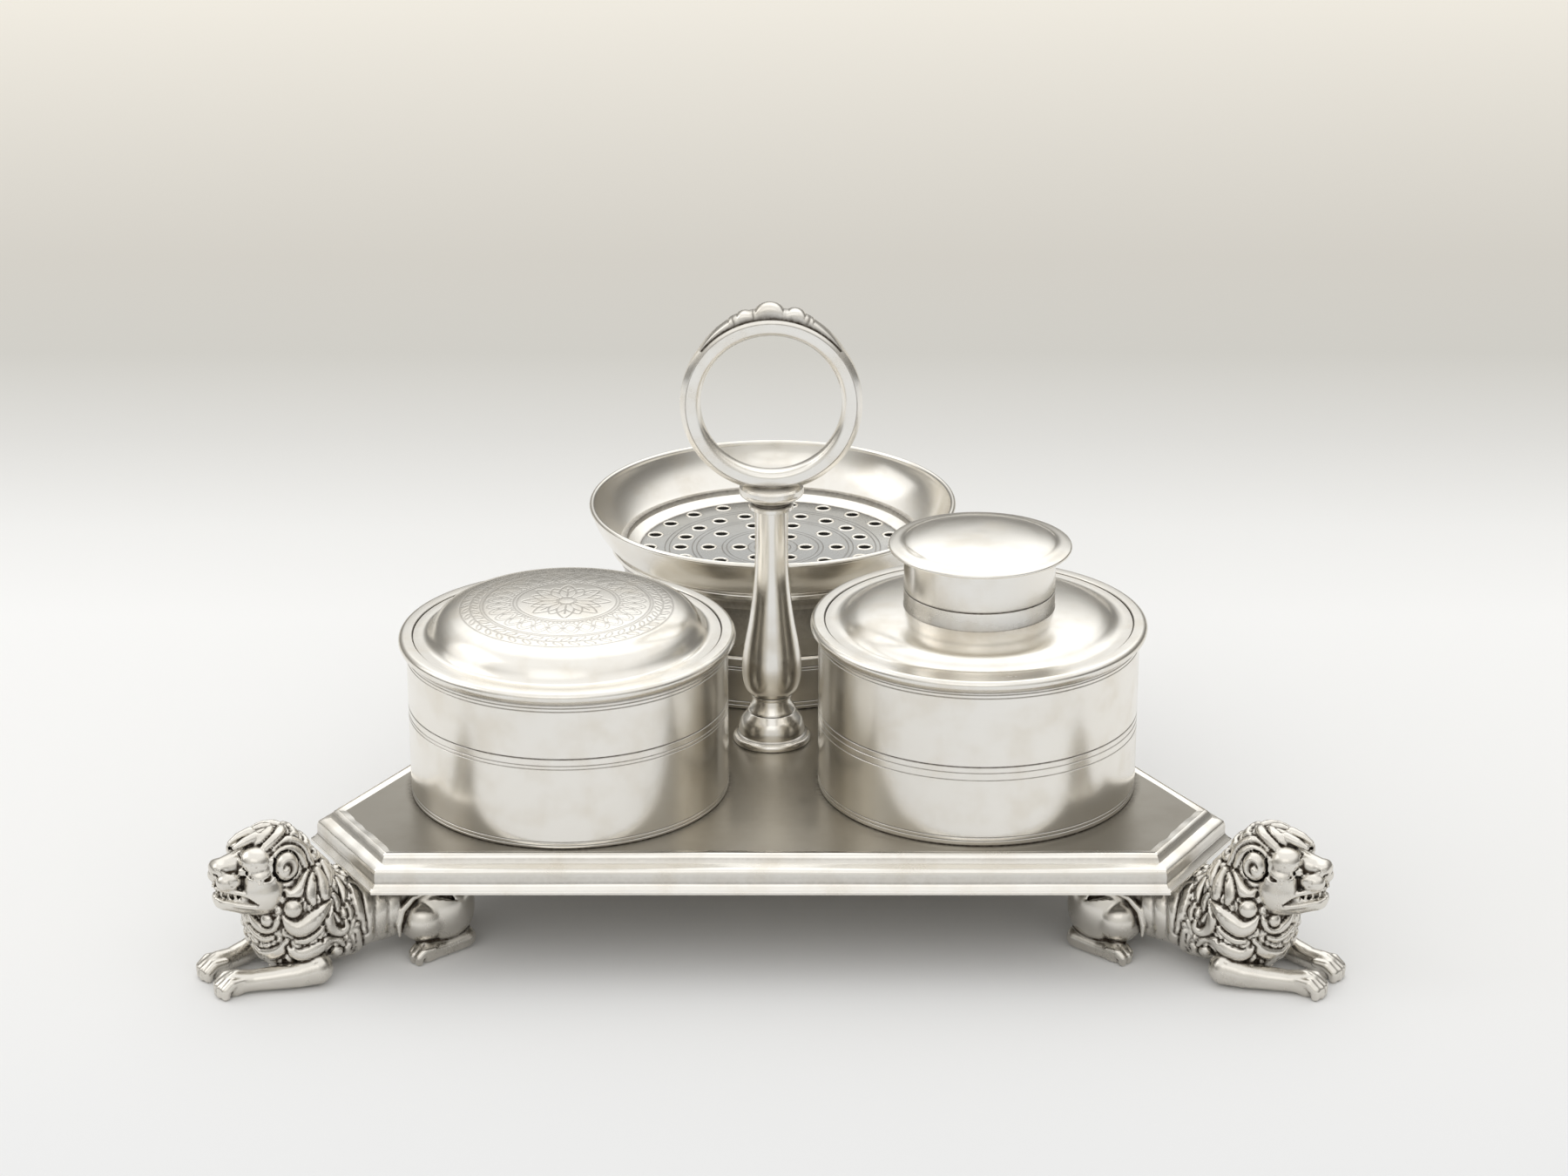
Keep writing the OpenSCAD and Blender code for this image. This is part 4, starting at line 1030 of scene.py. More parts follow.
    @staticmethod
    def _paw(clay: Clay, place: Row, size: float, toes: int) -> None:
        """A paw: long knuckled toes with deep clefts between them."""
        x, y = place
        clay.blob((x - 0.6, y, size * 0.85), (size * 1.1, size * 1.0, size * 1.02), 0.3)
        for i in range(toes):
            share = 2 * i / (toes - 1) - 1
            toe = y + share * size * 0.74
            tip = x + size * (0.95 - 0.2 * share * share)
            clay.strand([(x - 1.6, toe, size * 1.35), (x + 0.3, toe, size * 1.3), (tip, toe, size * 0.78),
                         (tip, toe, size * 0.35)],
                        (0.34 * size, 0.42 * size, 0.42 * size, 0.38 * size), 0.06)
            if i:
                cleft = toe - size * 0.74 / (toes - 1)
                clay.strand([(x - 0.2, cleft, size * 1.85), (x + 0.7 * size, cleft, size * 1.7),
                             (x + 1.3 * size, cleft, size * 1.05), (x + 1.38 * size, cleft, size * 0.2)],
                            (0.06 * size, 0.14 * size, 0.17 * size, 0.14 * size), 0.05, cut=True)


def plate_outline(side: float, cut: float) -> Array:
    """Corners of a three-cornered plate whose sides and cut corners stand at two distances."""
    rows = []
    for angle in CORNERS:
        cosine, sine = math.cos(math.radians(angle)), math.sin(math.radians(angle))
        for sign in (-1, 1):
            half = sign * (2 * side - cut) / math.sqrt(3)
            rows.append((cut * cosine - half * sine, cut * sine + half * cosine))
    return np.array(rows)


def along(corners: Array, steps: int) -> Array:
    """Evenly spaced points along each side of a closed outline."""
    shares = np.linspace(0, 1, steps, endpoint=False)[:, None]
    return np.concatenate([a + (b - a) * shares for a, b in zip(corners, np.roll(corners, -1, 0))])


def net(rows: int, columns: int, close_rows: bool) -> list[tuple]:
    """Faces of a grid of points that is closed round its columns, and round its rows if asked."""
    faces = []
    for i in range(rows if close_rows else rows - 1):
        for j in range(columns):
            a, b = i * columns, ((i + 1) % rows) * columns
            k = (j + 1) % columns
            faces.append((a + j, a + k, b + k, b + j))
    return faces


@dataclass(frozen=True)
class Palette:
    """The finishes of the stand."""

    round_work: dict
    flat: bpy.types.Material
    deck: bpy.types.Material
    sieve: bpy.types.Material
    cast: bpy.types.Material
    glass: bpy.types.Material
    steel: bpy.types.Material


@dataclass
class Tray:
    """The three-cornered tray: a flat deck in a moulded border."""

    palette: Palette
    steps: int = 44
    lip: float = 0.15
    brink: float = 0.5
    wobble: float = 0.05

    def __post_init__(self) -> None:
        """Takes the deck's sizes from its solid."""
        deck = Solid.of("tray_deck")
        self.under, self.top = deck.foot, deck.top
        self.side, self.corner = -deck.low[1], deck.high[1]
        self.rest = Solid.of("tray_border").foot

    def build(self) -> None:
        """Makes both pieces."""
        dress(self._deck(), "stand", self.palette.deck, POLISHED, "tray_deck")
        dress(self._border(), "stand", self.palette.flat, POLISHED, "tray_border")

    def _outline(self, reach: float) -> Array:
        """Points round the tray at a distance outside the deck's edge."""
        return along(plate_outline(self.side + reach, self.corner + reach), self.steps)

    def _deck(self) -> bpy.types.Object:
        """The flat plate with a softly rounded edge, and a brink that keeps its top flat."""
        outline, inner, flat = (self._outline(reach) for reach in (0.0, -self.lip, -self.lip - self.brink))
        layers = [(flat * 0.5, self.top), (flat, self.top), (inner, self.top),
                  ((outline + inner) / 2, self.top - self.lip * 0.25), (outline, self.top - self.lip),
                  (outline, self.under), (outline * 0.5, self.under)]
        points = np.concatenate([np.column_stack([xy, np.full(len(xy), z)]) for xy, z in layers])
        faces = net(len(layers), len(outline), False)
        last = len(points) - len(outline)
        faces += [tuple(range(len(outline)))[::-1], tuple(range(last, len(points)))]
        return make_object("deck_plate", points, faces, crease=50)

    def _border(self) -> bpy.types.Object:
        """The moulded border, mitred at its six corners, with painted shade in its section."""
        deck = self.top - self.rest
        # the fourth numbers paint shade into the moulding: above its foot, in the cove, on the upright face,
        # by the bead and underneath
        section = Profile().to(3.97, 0.0).to(4.0, 0.1).to(4.0, 0.42, 0.12).to(3.84, 0.55, 0, 0.12)
        section.curve(((3.55, 0.78), (3.2, 1.15), (3.0, 1.45)), 0.0, 4)
        section.to(2.98, 1.55, 0, 0.42).to(2.99, 2.0, 0, 0.2).to(3.0, 2.6, 0, 0.2).to(2.94, 3.05, 0, 0.12)
        section.curve(((2.9, 3.2), (2.7, 3.6), (2.25, 3.88), (1.65, 4.06), (1.1, 4.22)))
        section.to(0.8, deck - 0.5, 0, 0.35)
        section.curve(((0.62, -0.25), (0.42, 0.0), (0.0, 0.22), (-0.5, 0.28), (-0.95, 0.16)), deck, 3)
        section.to(-1.2, deck).to(-1.2, deck - 0.05)
        section.to(0.0, deck - 0.05).to(0.0, 4.5).to(-1.3, 4.5).to(-1.3, 3.2)
        section.to(1.0, 3.2, 0, 0.6).to(1.0, 0.0, 0, 0.2)
        rows = section.outline()
        angle = np.linspace(0, 2 * math.pi, 6 * self.steps, endpoint=False)
        points, dark = [], []
        for reach, height, shade in rows:
            ring = self._outline(reach)
            wave = self.wobble * (np.sin(9 * angle + 1.2) + 0.7 * np.sin(23 * angle + height)) / 2
            lift = np.full(len(ring), self.rest + height) + wave * (0 if height < 0.2 else 1)
            points.append(np.column_stack([ring, lift]))
            dark.append(np.full(len(ring), shade))
        points = np.concatenate(points)
        points[:, 2] = np.maximum(points[:, 2], self.rest)
        return make_object("tray_moulding", points, net(len(rows), 6 * self.steps, True),
                           np.concatenate(dark), crease=38)


@dataclass
class Ornament:
    """Engraved work on a lid: a rosette, an interlaced band and a wreath between plain lines.

    Each part gives the distance to its nearest line, and FAR where it has none.
    """

    FAR = 9.0
    depth: float = 0.03
    # painted shade in the engraved lines
    dark: float = 0.42
    slope: float = 0.14
    rings: tuple = (1.3, 8.2, 8.75, 13.75, 14.2, 17.5)
    petals: int = 8
    heart: float = 1.4
    waves: int = 14
    band: float = 11.2
    swing: float = 1.55
    leaves: int = 40
    stalk: float = 15.85
    leaf_reach: float = 1.45

    def relief(self, r: Array, angle: Array) -> tuple[Array, Array]:
        """Rise and painted darkness of the engraving at a radius.

        Args:
            r: Radii in millimetres.
            angle: Angles in radians.

        Returns:
            The rise and the darkness.
        """
        gap = np.full_like(r, self.FAR)
        for line in self.rings:
            gap = np.minimum(gap, abs(r - line) - 0.06)
        for part in (self._rosette, self._interlace, self._wreath):
            gap = np.minimum(gap, part(r, angle))
        cut = 1 - np.clip(gap / self.slope, 0, 1)
        return -self.depth * cut, cut * self.dark

    def _rosette(self, r: Array, angle: Array) -> Array:
        """Distance to the petals' outlines and veins."""
        near = np.full_like(r, self.FAR)
        for turn, reach in ((0.0, 7.3), (0.5, 6.1)):
            local = (angle / (2 * math.pi) * self.petals + turn + 0.5) % 1 - 0.5
            side = abs(local) * 2 * math.pi * r / self.petals
            share = np.clip((r - self.heart) / (reach - self.heart), 0, 1)
            width = 1.45 * np.sin(math.pi * share ** 0.8) ** 0.75
            outline = np.where((r > self.heart) & (r < reach), abs(side - width) * 0.85, self.FAR)
            vein = np.where((r > 2.0) & (r < reach - 1.6) & (turn == 0), side, self.FAR)
            near = np.minimum(near, np.minimum(outline, vein))
        return near - 0.07

    def _interlace(self, r: Array, angle: Array) -> Array:
        """Distance to two wavy strands that cross, with a dot in each eye."""
        near = np.full_like(r, self.FAR)
        for phase in (0.0, math.pi):
            swing = self.swing * np.sin(self.waves * angle + phase)
            slope = self.swing * self.waves * np.cos(self.waves * angle + phase) / np.maximum(r, 1)
            for edge in (-0.32, 0.32):
                away = abs(r - self.band - edge * np.hypot(1, slope) - swing)
                near = np.minimum(near, away / np.hypot(1, slope))
        local = (angle * self.waves / math.pi + 0.5) % 1 - 0.5
        eye = np.hypot(local * math.pi / self.waves * r, r - self.band) - 0.26
        bead = ((angle * 3 * self.waves / math.pi) % 1 - 0.5) * math.pi / 3 / self.waves * r
        dots = np.hypot(bead, r - 9.15) - 0.1
        return np.minimum(np.minimum(near, eye + 0.1), dots)

    def _wreath(self, r: Array, angle: Array) -> Array:
        """Distance to the outlines of leaves on both sides of a stalk."""
        near = abs(r - self.stalk)
        for side in (-1, 1):
            local = (angle / (2 * math.pi) * self.leaves + 0.25 * side + 0.5) % 1 - 0.5
            along_leaf = local * 2 * math.pi * r / self.leaves
            out = (r - self.stalk) * side
            lean = along_leaf - 0.9 * out + 0.5
            width = 0.62 * np.sin(math.pi * np.clip(out / self.leaf_reach, 0, 1)) ** 0.8
            edge = abs(abs(lean) - width) * 0.75
            near = np.minimum(near, np.where((out > 0) & (out < self.leaf_reach), edge, self.FAR))
        return near - 0.06


@dataclass
class Pot:
    """A lidded pot: wall, floor, rim and the sheet of its lid. Heights are counted from the table.

    Attributes:
        lines: Heights of the turned lines on the wall.
        strong: Those of them that are cut deeper.
        crown: Radius and height above the seat of the lid's outside, from its edge inwards.
        wall, sheet, floor: Thickness of the wall, of the lid and of the floor.
    """

    # width, depth and painted shade of a fine and of a strong turned line
    FINE_LINE, STRONG_LINE = (0.24, 0.08, 0.5), (0.3, 0.12, 0.75)
    GAP, BACK_R, BEZEL = 0.12, 22.4, 0.7
    palette: Palette
    kind: str
    lines: tuple
    strong: tuple
    crown: tuple = ()
    wall: float = 0.8
    sheet: float = 0.7
    floor: float = 0.9
    ledge_r: float = 24.7
    mouth_r: float = 25.4
    ledge: float = 0.9

    def __post_init__(self) -> None:
        """Takes its place and sizes from its solids."""
        wall = Solid.of(f"{self.kind}_wall")
        self.centre, self.radius, self.inner = wall.centre, wall.radius, wall.radius - self.wall
        self.foot, self.wall_top = wall.foot, wall.top
        self._measure_top()

    def _measure_top(self) -> None:
        """Takes the sizes of what stands on the wall."""
        rim = Solid.of(f"{self.kind}_rim")
        self.top, self.rim_r, self.seat = rim.top, rim.radius, rim.top - self.ledge

    @property
    def finish(self) -> bpy.types.Material:
        """The silver that is turned round this pot's axis."""
        return self.palette.round_work[self.kind]

    def spin(self, name: str, profile: Profile, body: str, *nodes: str, segments: int = 192,
             relief: Optional[Callable] = None) -> bpy.types.Object:
        """Turns a piece round the pot's axis and dresses it."""
        piece = turned(name, profile, self.centre, segments, relief)
        return dress(piece, body, self.finish, POLISHED, *nodes)

    def build(self) -> None:
        """Makes the wall, the floor and the rim."""
        wall = self._wall().to(self.radius, self.wall_top, 0, 0.5).to(self.inner, self.wall_top)
        self.spin(f"{self.kind}_barrel", wall, "stand", f"{self.kind}_wall")
        self.spin(f"{self.kind}_bottom", self._floor(self.inner - 1.5), "stand", f"{self.kind}_floor",
                  segments=96)
        self.spin(f"{self.kind}_moulding", self._rim(), "stand", f"{self.kind}_rim")

    def _wall(self) -> Profile:
        """Section of the wall up to its last turned line, with painted shade and grime along its foot."""
        wall = Profile().to(self.inner, self.foot).to(self.radius - 0.05, self.foot, 0, 1.0)
        wall.to(self.radius, self.foot + 0.18, 0, 0.7).to(self.radius, self.foot + 0.32)
        for height in self.lines:
            wall.groove(self.radius, height, *(self.STRONG_LINE if height in self.strong else self.FINE_LINE))
        return wall

    def _floor(self, *clean: float) -> Profile:
        """Section of the floor, whose top may be clean of painted shade inside a radius."""
        floor, top = Profile().to(0, self.foot), self.foot + self.floor
        # painted shade in the floor's corners
        floor.to(self.inner, self.foot, 0, 0.6).to(self.inner, top, 0, 0.6)
        for r in (*clean, 0):
            floor.to(r, top)
        return floor

    def _rim(self) -> Profile:
        """Section of the rim: a rounded moulding with a recess for the lid."""
        top, seat, r = self.top, self.seat, self.rim_r
        # painted shade in the lid's seat and where the moulding meets the wall
        rim = Profile().to(self.ledge_r, top - 2.4).to(self.ledge_r, seat).to(self.mouth_r, seat, 0, 0.6)
        rim.to(self.mouth_r, top - 0.12, 0, 0.25).to(self.mouth_r + 0.1, top - 0.02)
        rim.arc((r - self.ledge, seat), self.ledge, 90, -40, 12)
        return rim.to(self.radius + 0.3, top - 2.2, 0.2, 0.35).to(self.radius, top - 2.4, 0, 0.9)

    def _crown(self, steps: int) -> Array:
        """The smooth line through the crown's points, with so many steps from each to the next."""
        count = len(self.crown) - 1
        return smoothed(np.array(self.crown, float), np.linspace(0, count, steps * count + 1))

    def crown_at(self, r: Union[float, Array]) -> Union[float, Array]:
        """Height of the lid's outside at a radius, from the table."""
        fine = self._crown(8)[::-1]
        return self.seat + np.interp(r, fine[:, 0], fine[:, 1])

    def lid(self, hole_r: float, fine_r: float = 0.0, rings: int = 12) -> Profile:
        """Section of a lid: flange, cove, shoulder and domed crown.

        Args:
            hole_r: Radius of the hole for the neck, or 0.
            fine_r: Radius of the engraved part, which gets many rings.
            rings: Number of those rings.

        Returns:
            The section.
        """
        rows = self._crown(4)
        rows = rows[(rows[:, 0] > fine_r + 0.1) & (rows[:, 0] > hole_r + 0.05)] + [0, self.seat]
        inner = np.linspace(max(fine_r, hole_r), hole_r, rings if fine_r > hole_r else 1)
        rows = np.concatenate([rows, np.column_stack([inner, self.crown_at(inner)])])
        slope = np.gradient(rows, axis=0)
        slope[-1] = (-1.0, 0.0)
        normal = np.column_stack([slope[:, 1], -slope[:, 0]]) / np.hypot(*slope.T)[:, None]
        back = (rows - self.sheet * normal)[::-1]
        edge = self.mouth_r - self.GAP
        # painted shade under the lid's flange and at its edge in the rim
        lid = Profile().to(23.8, self.seat - 0.02).to(25.2, self.seat, 0, 0.5)
        lid.to(edge, self.seat + 0.1, 0, 0.5).to(edge, self.seat + self.sheet, 0.12, 0.1)
        for r, z in rows:
            lid.to(max(r, 0.0), z)
        for i, (r, z) in enumerate(back):
            if r < self.BACK_R and i % (6 if r < fine_r else 2) == 0:
                lid.to(r if i else hole_r, z)
        return lid

    def bezel(self, body: str, node: str) -> None:
        """The tube under the lid."""
        solid = Solid.of(node)
        r, bore = solid.radius, solid.radius - self.BEZEL
        tube = Profile().to(bore, solid.foot).to(r, solid.foot, 0.1).to(r, solid.top).to(bore, solid.top)
        self.spin(f"{self.kind}_bezel", tube, body, node, segments=96)


@dataclass
class WaferBox(Pot):
    """The box with the engraved lid."""

    ornament: Ornament = field(default_factory=Ornament)
    engraved_r: float = 17.8
    crown: tuple = ((24.1, 0.66), (23.5, 0.68), (22.95, 0.92), (22.45, 1.5), (21.9, 2.35), (21.2, 3.25),
                    (20.2, 4.05), (18.8, 4.65), (16.5, 5.15), (12.0, 5.65), (6.0, 6.0), (0.0, 6.1))

    def build(self) -> None:
        """Adds the lid."""
        super().build()
        segments = 540
        self.spin("box_cover", self.lid(0.0, self.engraved_r, 110), "box_top", "box_lid", segments=segments,
                  relief=self._engraved)
        self.bezel("box_top", "box_lid_bezel")

    def _engraved(self, r: Array, angle: Array, z: float) -> tuple[Array, Array]:
        """Rise and darkness of the ornament, which is cut only into the outside."""
        if r[0] > self.engraved_r + 0.2 or z < self.crown_at(r[0]) - 0.3:
            return np.zeros_like(r), np.zeros_like(r)
        return self.ornament.relief(r, angle)


@dataclass
class InkPot(Pot):
    """The ink pot with its neck, its brimmed cap and its glass."""

    neck_r: float = 12.4
    bore: float = 10.9
    step_r: float = 11.6
    skirt_r: float = 11.8
    crown: tuple = ((24.1, 0.66), (23.5, 0.68), (22.8, 0.82), (22.1, 1.15), (21.2, 1.7), (19.8, 2.3),
                    (17.6, 2.8), (15.0, 3.15), (12.5, 3.4), (10.9, 3.5))
    cap: tuple = ((14.2, 0.68), (13.2, 0.78), (12.65, 0.95), (12.1, 1.22), (11.0, 1.52), (8.5, 1.95),
                  (5.0, 2.22), (0.0, 2.32))

    def build(self) -> None:
        """Adds the cover, the neck, the cap and the glass."""
        super().build()
        self.spin("ink_dome", self.lid(self.bore), "ink_top", "ink_cover")
        self.bezel("ink_top", "ink_cover_bezel")
        r, shoulder, top = self.neck_r, Solid.of("ink_cap_skirt").foot, Solid.of("ink_neck").top
        foot = self.crown_at(r) - 0.1
        # painted shade round the neck's foot and under the cap's skirt
        neck = Profile().to(self.bore, foot).to(r + 0.08, foot + 0.05, 0, 0.6).to(r, foot + 0.25, 0, 0.2)
        neck.to(r, shoulder - 0.02, 0.15).to(self.step_r, shoulder - 0.02, 0, 0.9)
        self.spin("ink_throat", neck.to(self.step_r, top, 0.2).to(self.bore, top), "ink_top", "ink_neck")
        brim = Solid.of("ink_cap_top").foot
        # painted shade where the skirt meets its shoulder and its brim
        skirt = Profile().to(self.skirt_r, shoulder).to(r, shoulder, 0.12, 0.9).to(r, shoulder + 0.4)
        skirt.to(r, brim - 0.5).to(r, brim, 0, 0.9).to(self.skirt_r, brim)
        self.spin("cap_drum", skirt, "ink_stopper", "ink_cap_skirt")
        self._cap()
        dress_solid("ink_liner", self.palette.glass)

    def _cap(self) -> None:
        """The brimmed cap top."""
        solid = Solid.of("ink_cap_top")
        r, brim, edge = solid.radius, solid.foot, 0.3
        # painted shade under the brim
        cap = Profile().to(0, brim).to(12.2, brim, 0, 0.8).to(12.9, brim)
        cap.arc((r - edge, brim + edge), edge, -90, 90, 8)
        self.spin("cap_brim", cap.curve(self.cap, brim), "ink_stopper", "ink_cap_top")


@dataclass
class Sander(Pot):
    """The sander: a low drum and a lift-off caster with a dished, pierced top.

    Attributes:
        holes: Radius and number of holes of each ring of the sieve.
        lip_r: Radius of the bowl's rolled lip.
        seam_cut: How deep the seam between drum and caster is.
        sleeve: Bore, outside and half the height of the sleeve under the caster.
        rim_steps, hole_steps: Steps round the sieve and round a hole.
        mesh_step, mesh_gap: Steps of the sieve's mesh and their distance from the holes.
        burr: Width outside the hole, thickness and depth of a hole's raised edge.
    """

    hole_r: float = 1.05
    holes: tuple = ((0.0, 1), (5.9, 6), (11.4, 10), (16.4, 20), (22.0, 22))
    lip_r: float = 0.5
    seam_cut: float = 0.36
    sleeve: tuple = (24.4, 25.4, 4.2)
    rim_steps: int = 160
    hole_steps: int = 18
    mesh_step: float = 0.9
    mesh_gap: float = 0.12
    burr: tuple = (0.24, 0.28, 0.12)

    def _measure_top(self) -> None:
        """Takes the sizes of the caster from its solids."""
        ring, dish, sieve = (Solid.of(f"caster_{part}") for part in ("ring", "dish", "sieve"))
        self.ring_foot, self.ring_top, self.ring_r = ring.foot, ring.top, ring.radius
        self.dish_r, self.lip = dish.radius, dish.top - self.lip_r
        self.sieve_r, self.sieve_z = sieve.radius, sieve.top

    def build(self) -> None:
        """Makes the drum and the caster."""
        r, seam = self.radius, self.wall_top
        wall = self._wall().to(r, seam - 0.5).to(r - 0.32, seam - 0.12)
        wall.to(r - self.seam_cut, seam, 0, 1.0).to(self.inner, seam)
        self.spin("sander_drum", wall, "stand", "sander_wall")
        self.spin("sander_bottom", self._floor(), "stand", "sander_floor", segments=96)
        self.spin("sander_sleeve", self._collar(), "stand", "sander_collar", segments=96)
        # a dark joint at the seam, and painted shade where the barrel runs under the moulded ring
        upper = Profile().to(self.inner, seam + 0.01).to(r - self.seam_cut, seam + 0.01, 0, 1.0)
        upper.to(r - 0.02, seam + 0.12, 0, 0.8).to(r, seam + 0.3).to(r, self.ring_foot, 0, 0.6)
        self.spin("caster_barrel", upper.to(self.inner, self.ring_foot), "sander_top", "caster_wall")
        self.spin("caster_moulding", self._moulding(), "sander_top", "caster_ring")
        self.spin("caster_bowl", self._bowl(), "sander_top", "caster_dish", segments=256)
        dress(self._sieve(), "sander_top", self.palette.sieve, POLISHED, "caster_sieve")
        dress(self._burrs(), "sander_top", self.finish, POLISHED)

    def _collar(self) -> Profile:
        """Section of the sleeve inside the drum that the caster slips over."""
        bore, outer, reach = self.sleeve
        low, seam, high = self.wall_top - reach, self.wall_top, self.wall_top + reach
        collar = Profile().to(bore, low).to(self.inner, low).to(self.inner, seam)
        return collar.to(outer, seam).to(outer, high, 0.1).to(bore, high)

    def _moulding(self) -> Profile:
        """Section of the moulded ring under the bowl."""
        foot, top, r = self.ring_foot, self.ring_top, self.ring_r
        # painted shade in the moulding's cove and where the bowl stands on it
        ring = Profile().to(self.inner, foot).to(self.radius + 0.8, foot, 0.12, 0.3)
        ring.to(self.radius + 0.8, foot + 0.8, 0.12, 0.5)
        ring.arc((r + 0.05, foot + 0.85), r - self.radius - 0.8, 178, 96, 8, 0.5)
        ring.to(r, top - 0.85).to(r, top, 0.35)
        return ring.to(self.radius - 0.4, top, 0, 0.7).to(self.inner, top - 1.5)

    def _bowl(self) -> Profile:
        """Section of the flaring bowl and its rolled lip."""
        foot = np.array([self.sieve_r, self.sieve_z])
        edge = np.array([self.dish_r - 2 * self.lip_r, self.lip])
        chord, half = edge - foot, math.radians(30)
        start = math.atan2(chord[1], chord[0]) - half
        arc_r = np.linalg.norm(chord) / (2 * math.sin(half))
        centre = foot + arc_r * np.array([-math.sin(start), math.cos(start)])
        first = math.degrees(math.atan2(foot[1] - centre[1], foot[0] - centre[0]))
        # painted shade where the bowl meets the sieve
        bowl = Profile().to(*foot, 0, 0.9).arc(centre, arc_r, first + 2, first + 58, 24)
        bowl.arc((self.dish_r - self.lip_r, self.lip), self.lip_r, 190, -50, 14)
        return bowl.arc(centre, arc_r + self.wall, first + 59, first, 24).to(foot[0], foot[1] - self.wall)

    def _spots(self) -> list[tuple[float, float]]:
        """Centres of the holes, counted from the caster's axis."""
        spots = []
        for reach, count in self.holes:
            for i in range(count):
                turn = 2 * math.pi * i / count
                spots.append((reach * math.cos(turn), reach * math.sin(turn)))
        return spots

    def _sieve(self) -> bpy.types.Object:
        """The pierced floor of the bowl; its turned rings are part of its finish."""
        places, edges = [], []

        def loop(x: float, y: float, r: float, count: int) -> None:
            """Adds a closed loop of points and its edges."""
            first = len(places)
            for i in range(count):
                turn = 2 * math.pi * i / count
                places.append(Vector((x + r * math.cos(turn), y + r * math.sin(turn))))
                edges.append((first + i, first + (i + 1) % count))

        loop(0, 0, self.sieve_r, self.rim_steps)
        spots = self._spots()
        for x, y in spots:
            loop(x, y, self.hole_r, self.hole_steps)
        for r in np.arange(1.9, 23, 1.0):
            count = max(12, int(2 * math.pi * r / self.mesh_step))
            for turn in np.linspace(0, 2 * math.pi, count, endpoint=False):
                x, y = r * math.cos(turn), r * math.sin(turn)
                if all((x - a) ** 2 + (y - b) ** 2 > (self.hole_r + self.mesh_gap) ** 2 for a, b in spots):
                    places.append(Vector((x, y)))
        flat, _, tris, *_ = delaunay_2d_cdt(places, edges, [], 0, 1e-5)
        flat = np.array([(p.x, p.y) for p in flat])
        spots = np.array(spots)
        kept = []
        for tri in tris:
            middle = flat[list(tri)].mean(0)
            if np.hypot(*(spots - middle).T).min() > self.hole_r * 0.985 and np.hypot(*middle) < self.sieve_r:
                kept.append(tuple(tri))
        radius = np.hypot(flat[:, 0], flat[:, 1])
        beside = np.hypot(*(flat[:, None] - spots).transpose(2, 0, 1)).min(1) - self.hole_r
        # painted shade round each hole and along the edge where the bowl rises
        dark = np.clip(1 - beside / 0.3, 0, 1) * 0.3 + np.clip((radius - 23.3) * 1.2, 0, 0.6)
        count = len(flat)
        upper, lower = (np.column_stack([flat + self.centre, np.full(count, height)])
                        for height in (self.sieve_z, self.sieve_z - self.wall))
        faces = kept + [tuple(n + count for n in reversed(tri)) for tri in kept]
        uses = dict.fromkeys((a, b) for tri in kept for a, b in zip(tri, tri[1:] + tri[:1]))
        faces += [(b, a, a + count, b + count) for a, b in uses if (b, a) not in uses]
        # the sieve's underside is painted half dark as shade
        return make_object("caster_grid", np.concatenate([upper, lower]), faces,
                           np.concatenate([np.clip(dark, 0, 1), np.full(count, 0.5)]), crease=40)

    def _burrs(self) -> bpy.types.Object:
        """Raised edges of the punched holes, set out by a node tree."""
        out, thick, sunk = self.burr
        spots = [(x + self.centre[0], y + self.centre[1], self.sieve_z - sunk) for x, y in self._spots()]
        piece = make_object("hole_edges", np.array(spots), [], outward=False)
        tree = bpy.data.node_groups.new("hole_edges", "GeometryNodeTree")
        _, radius, height, _ = (
            tree.interface.new_socket(name, in_out=way, socket_type=f"NodeSocket{kind}")
            for name, way, kind in (("Geometry", "INPUT", "Geometry"), ("Hole radius", "INPUT", "Float"),
                                    ("Edge height", "INPUT", "Float"), ("Geometry", "OUTPUT", "Geometry")))
        graph = Graph(tree)
        given = graph.node("NodeGroupInput").outputs

        def step(kind: str, inputs: dict, settings: Optional[dict] = None) -> bpy.types.NodeSocket:
            """Adds one node of the row and returns its geometry."""
            return graph.node(f"GeometryNode{kind}", settings, inputs).outputs[0]

        path, section = (
            step("CurvePrimitiveCircle", {"Resolution": steps, "Radius": given[size]}, {"mode": "RADIUS"})
            for steps, size in ((20, radius.name), (8, height.name)))
        tube = step("CurveToMesh", {"Curve": path, "Profile Curve": section})
        smooth = step("SetShadeSmooth", {"Geometry": tube})
        points = step("MeshToPoints", {"Mesh": given[0]})
        copies = step("InstanceOnPoints", {"Points": points, "Instance": smooth})
        solid = step("RealizeInstances", {0: copies})
        painted = step("SetMaterial", {"Geometry": solid, "Material": self.finish})
        graph.node("NodeGroupOutput", {}, {0: painted})
        sizes = {radius.identifier: (self.hole_r + out) * MM, height.identifier: thick * MM}
        return grown(piece, tree, sizes)


def grown(piece: bpy.types.Object, tree: bpy.types.NodeTree, sizes: dict) -> bpy.types.Object:
    """Runs a geometry node tree on a piece and keeps the result as its plain mesh."""
    modifier = piece.modifiers.new(tree.name, "NODES")
    modifier.node_group = tree
    for name, value in sizes.items():
        modifier[name] = value
    bpy.context.view_layer.update()
    graph = bpy.context.evaluated_depsgraph_get()
    mesh = bpy.data.meshes.new_from_object(piece.evaluated_get(graph))
    piece.modifiers.remove(modifier)
    piece.data = mesh
    return piece


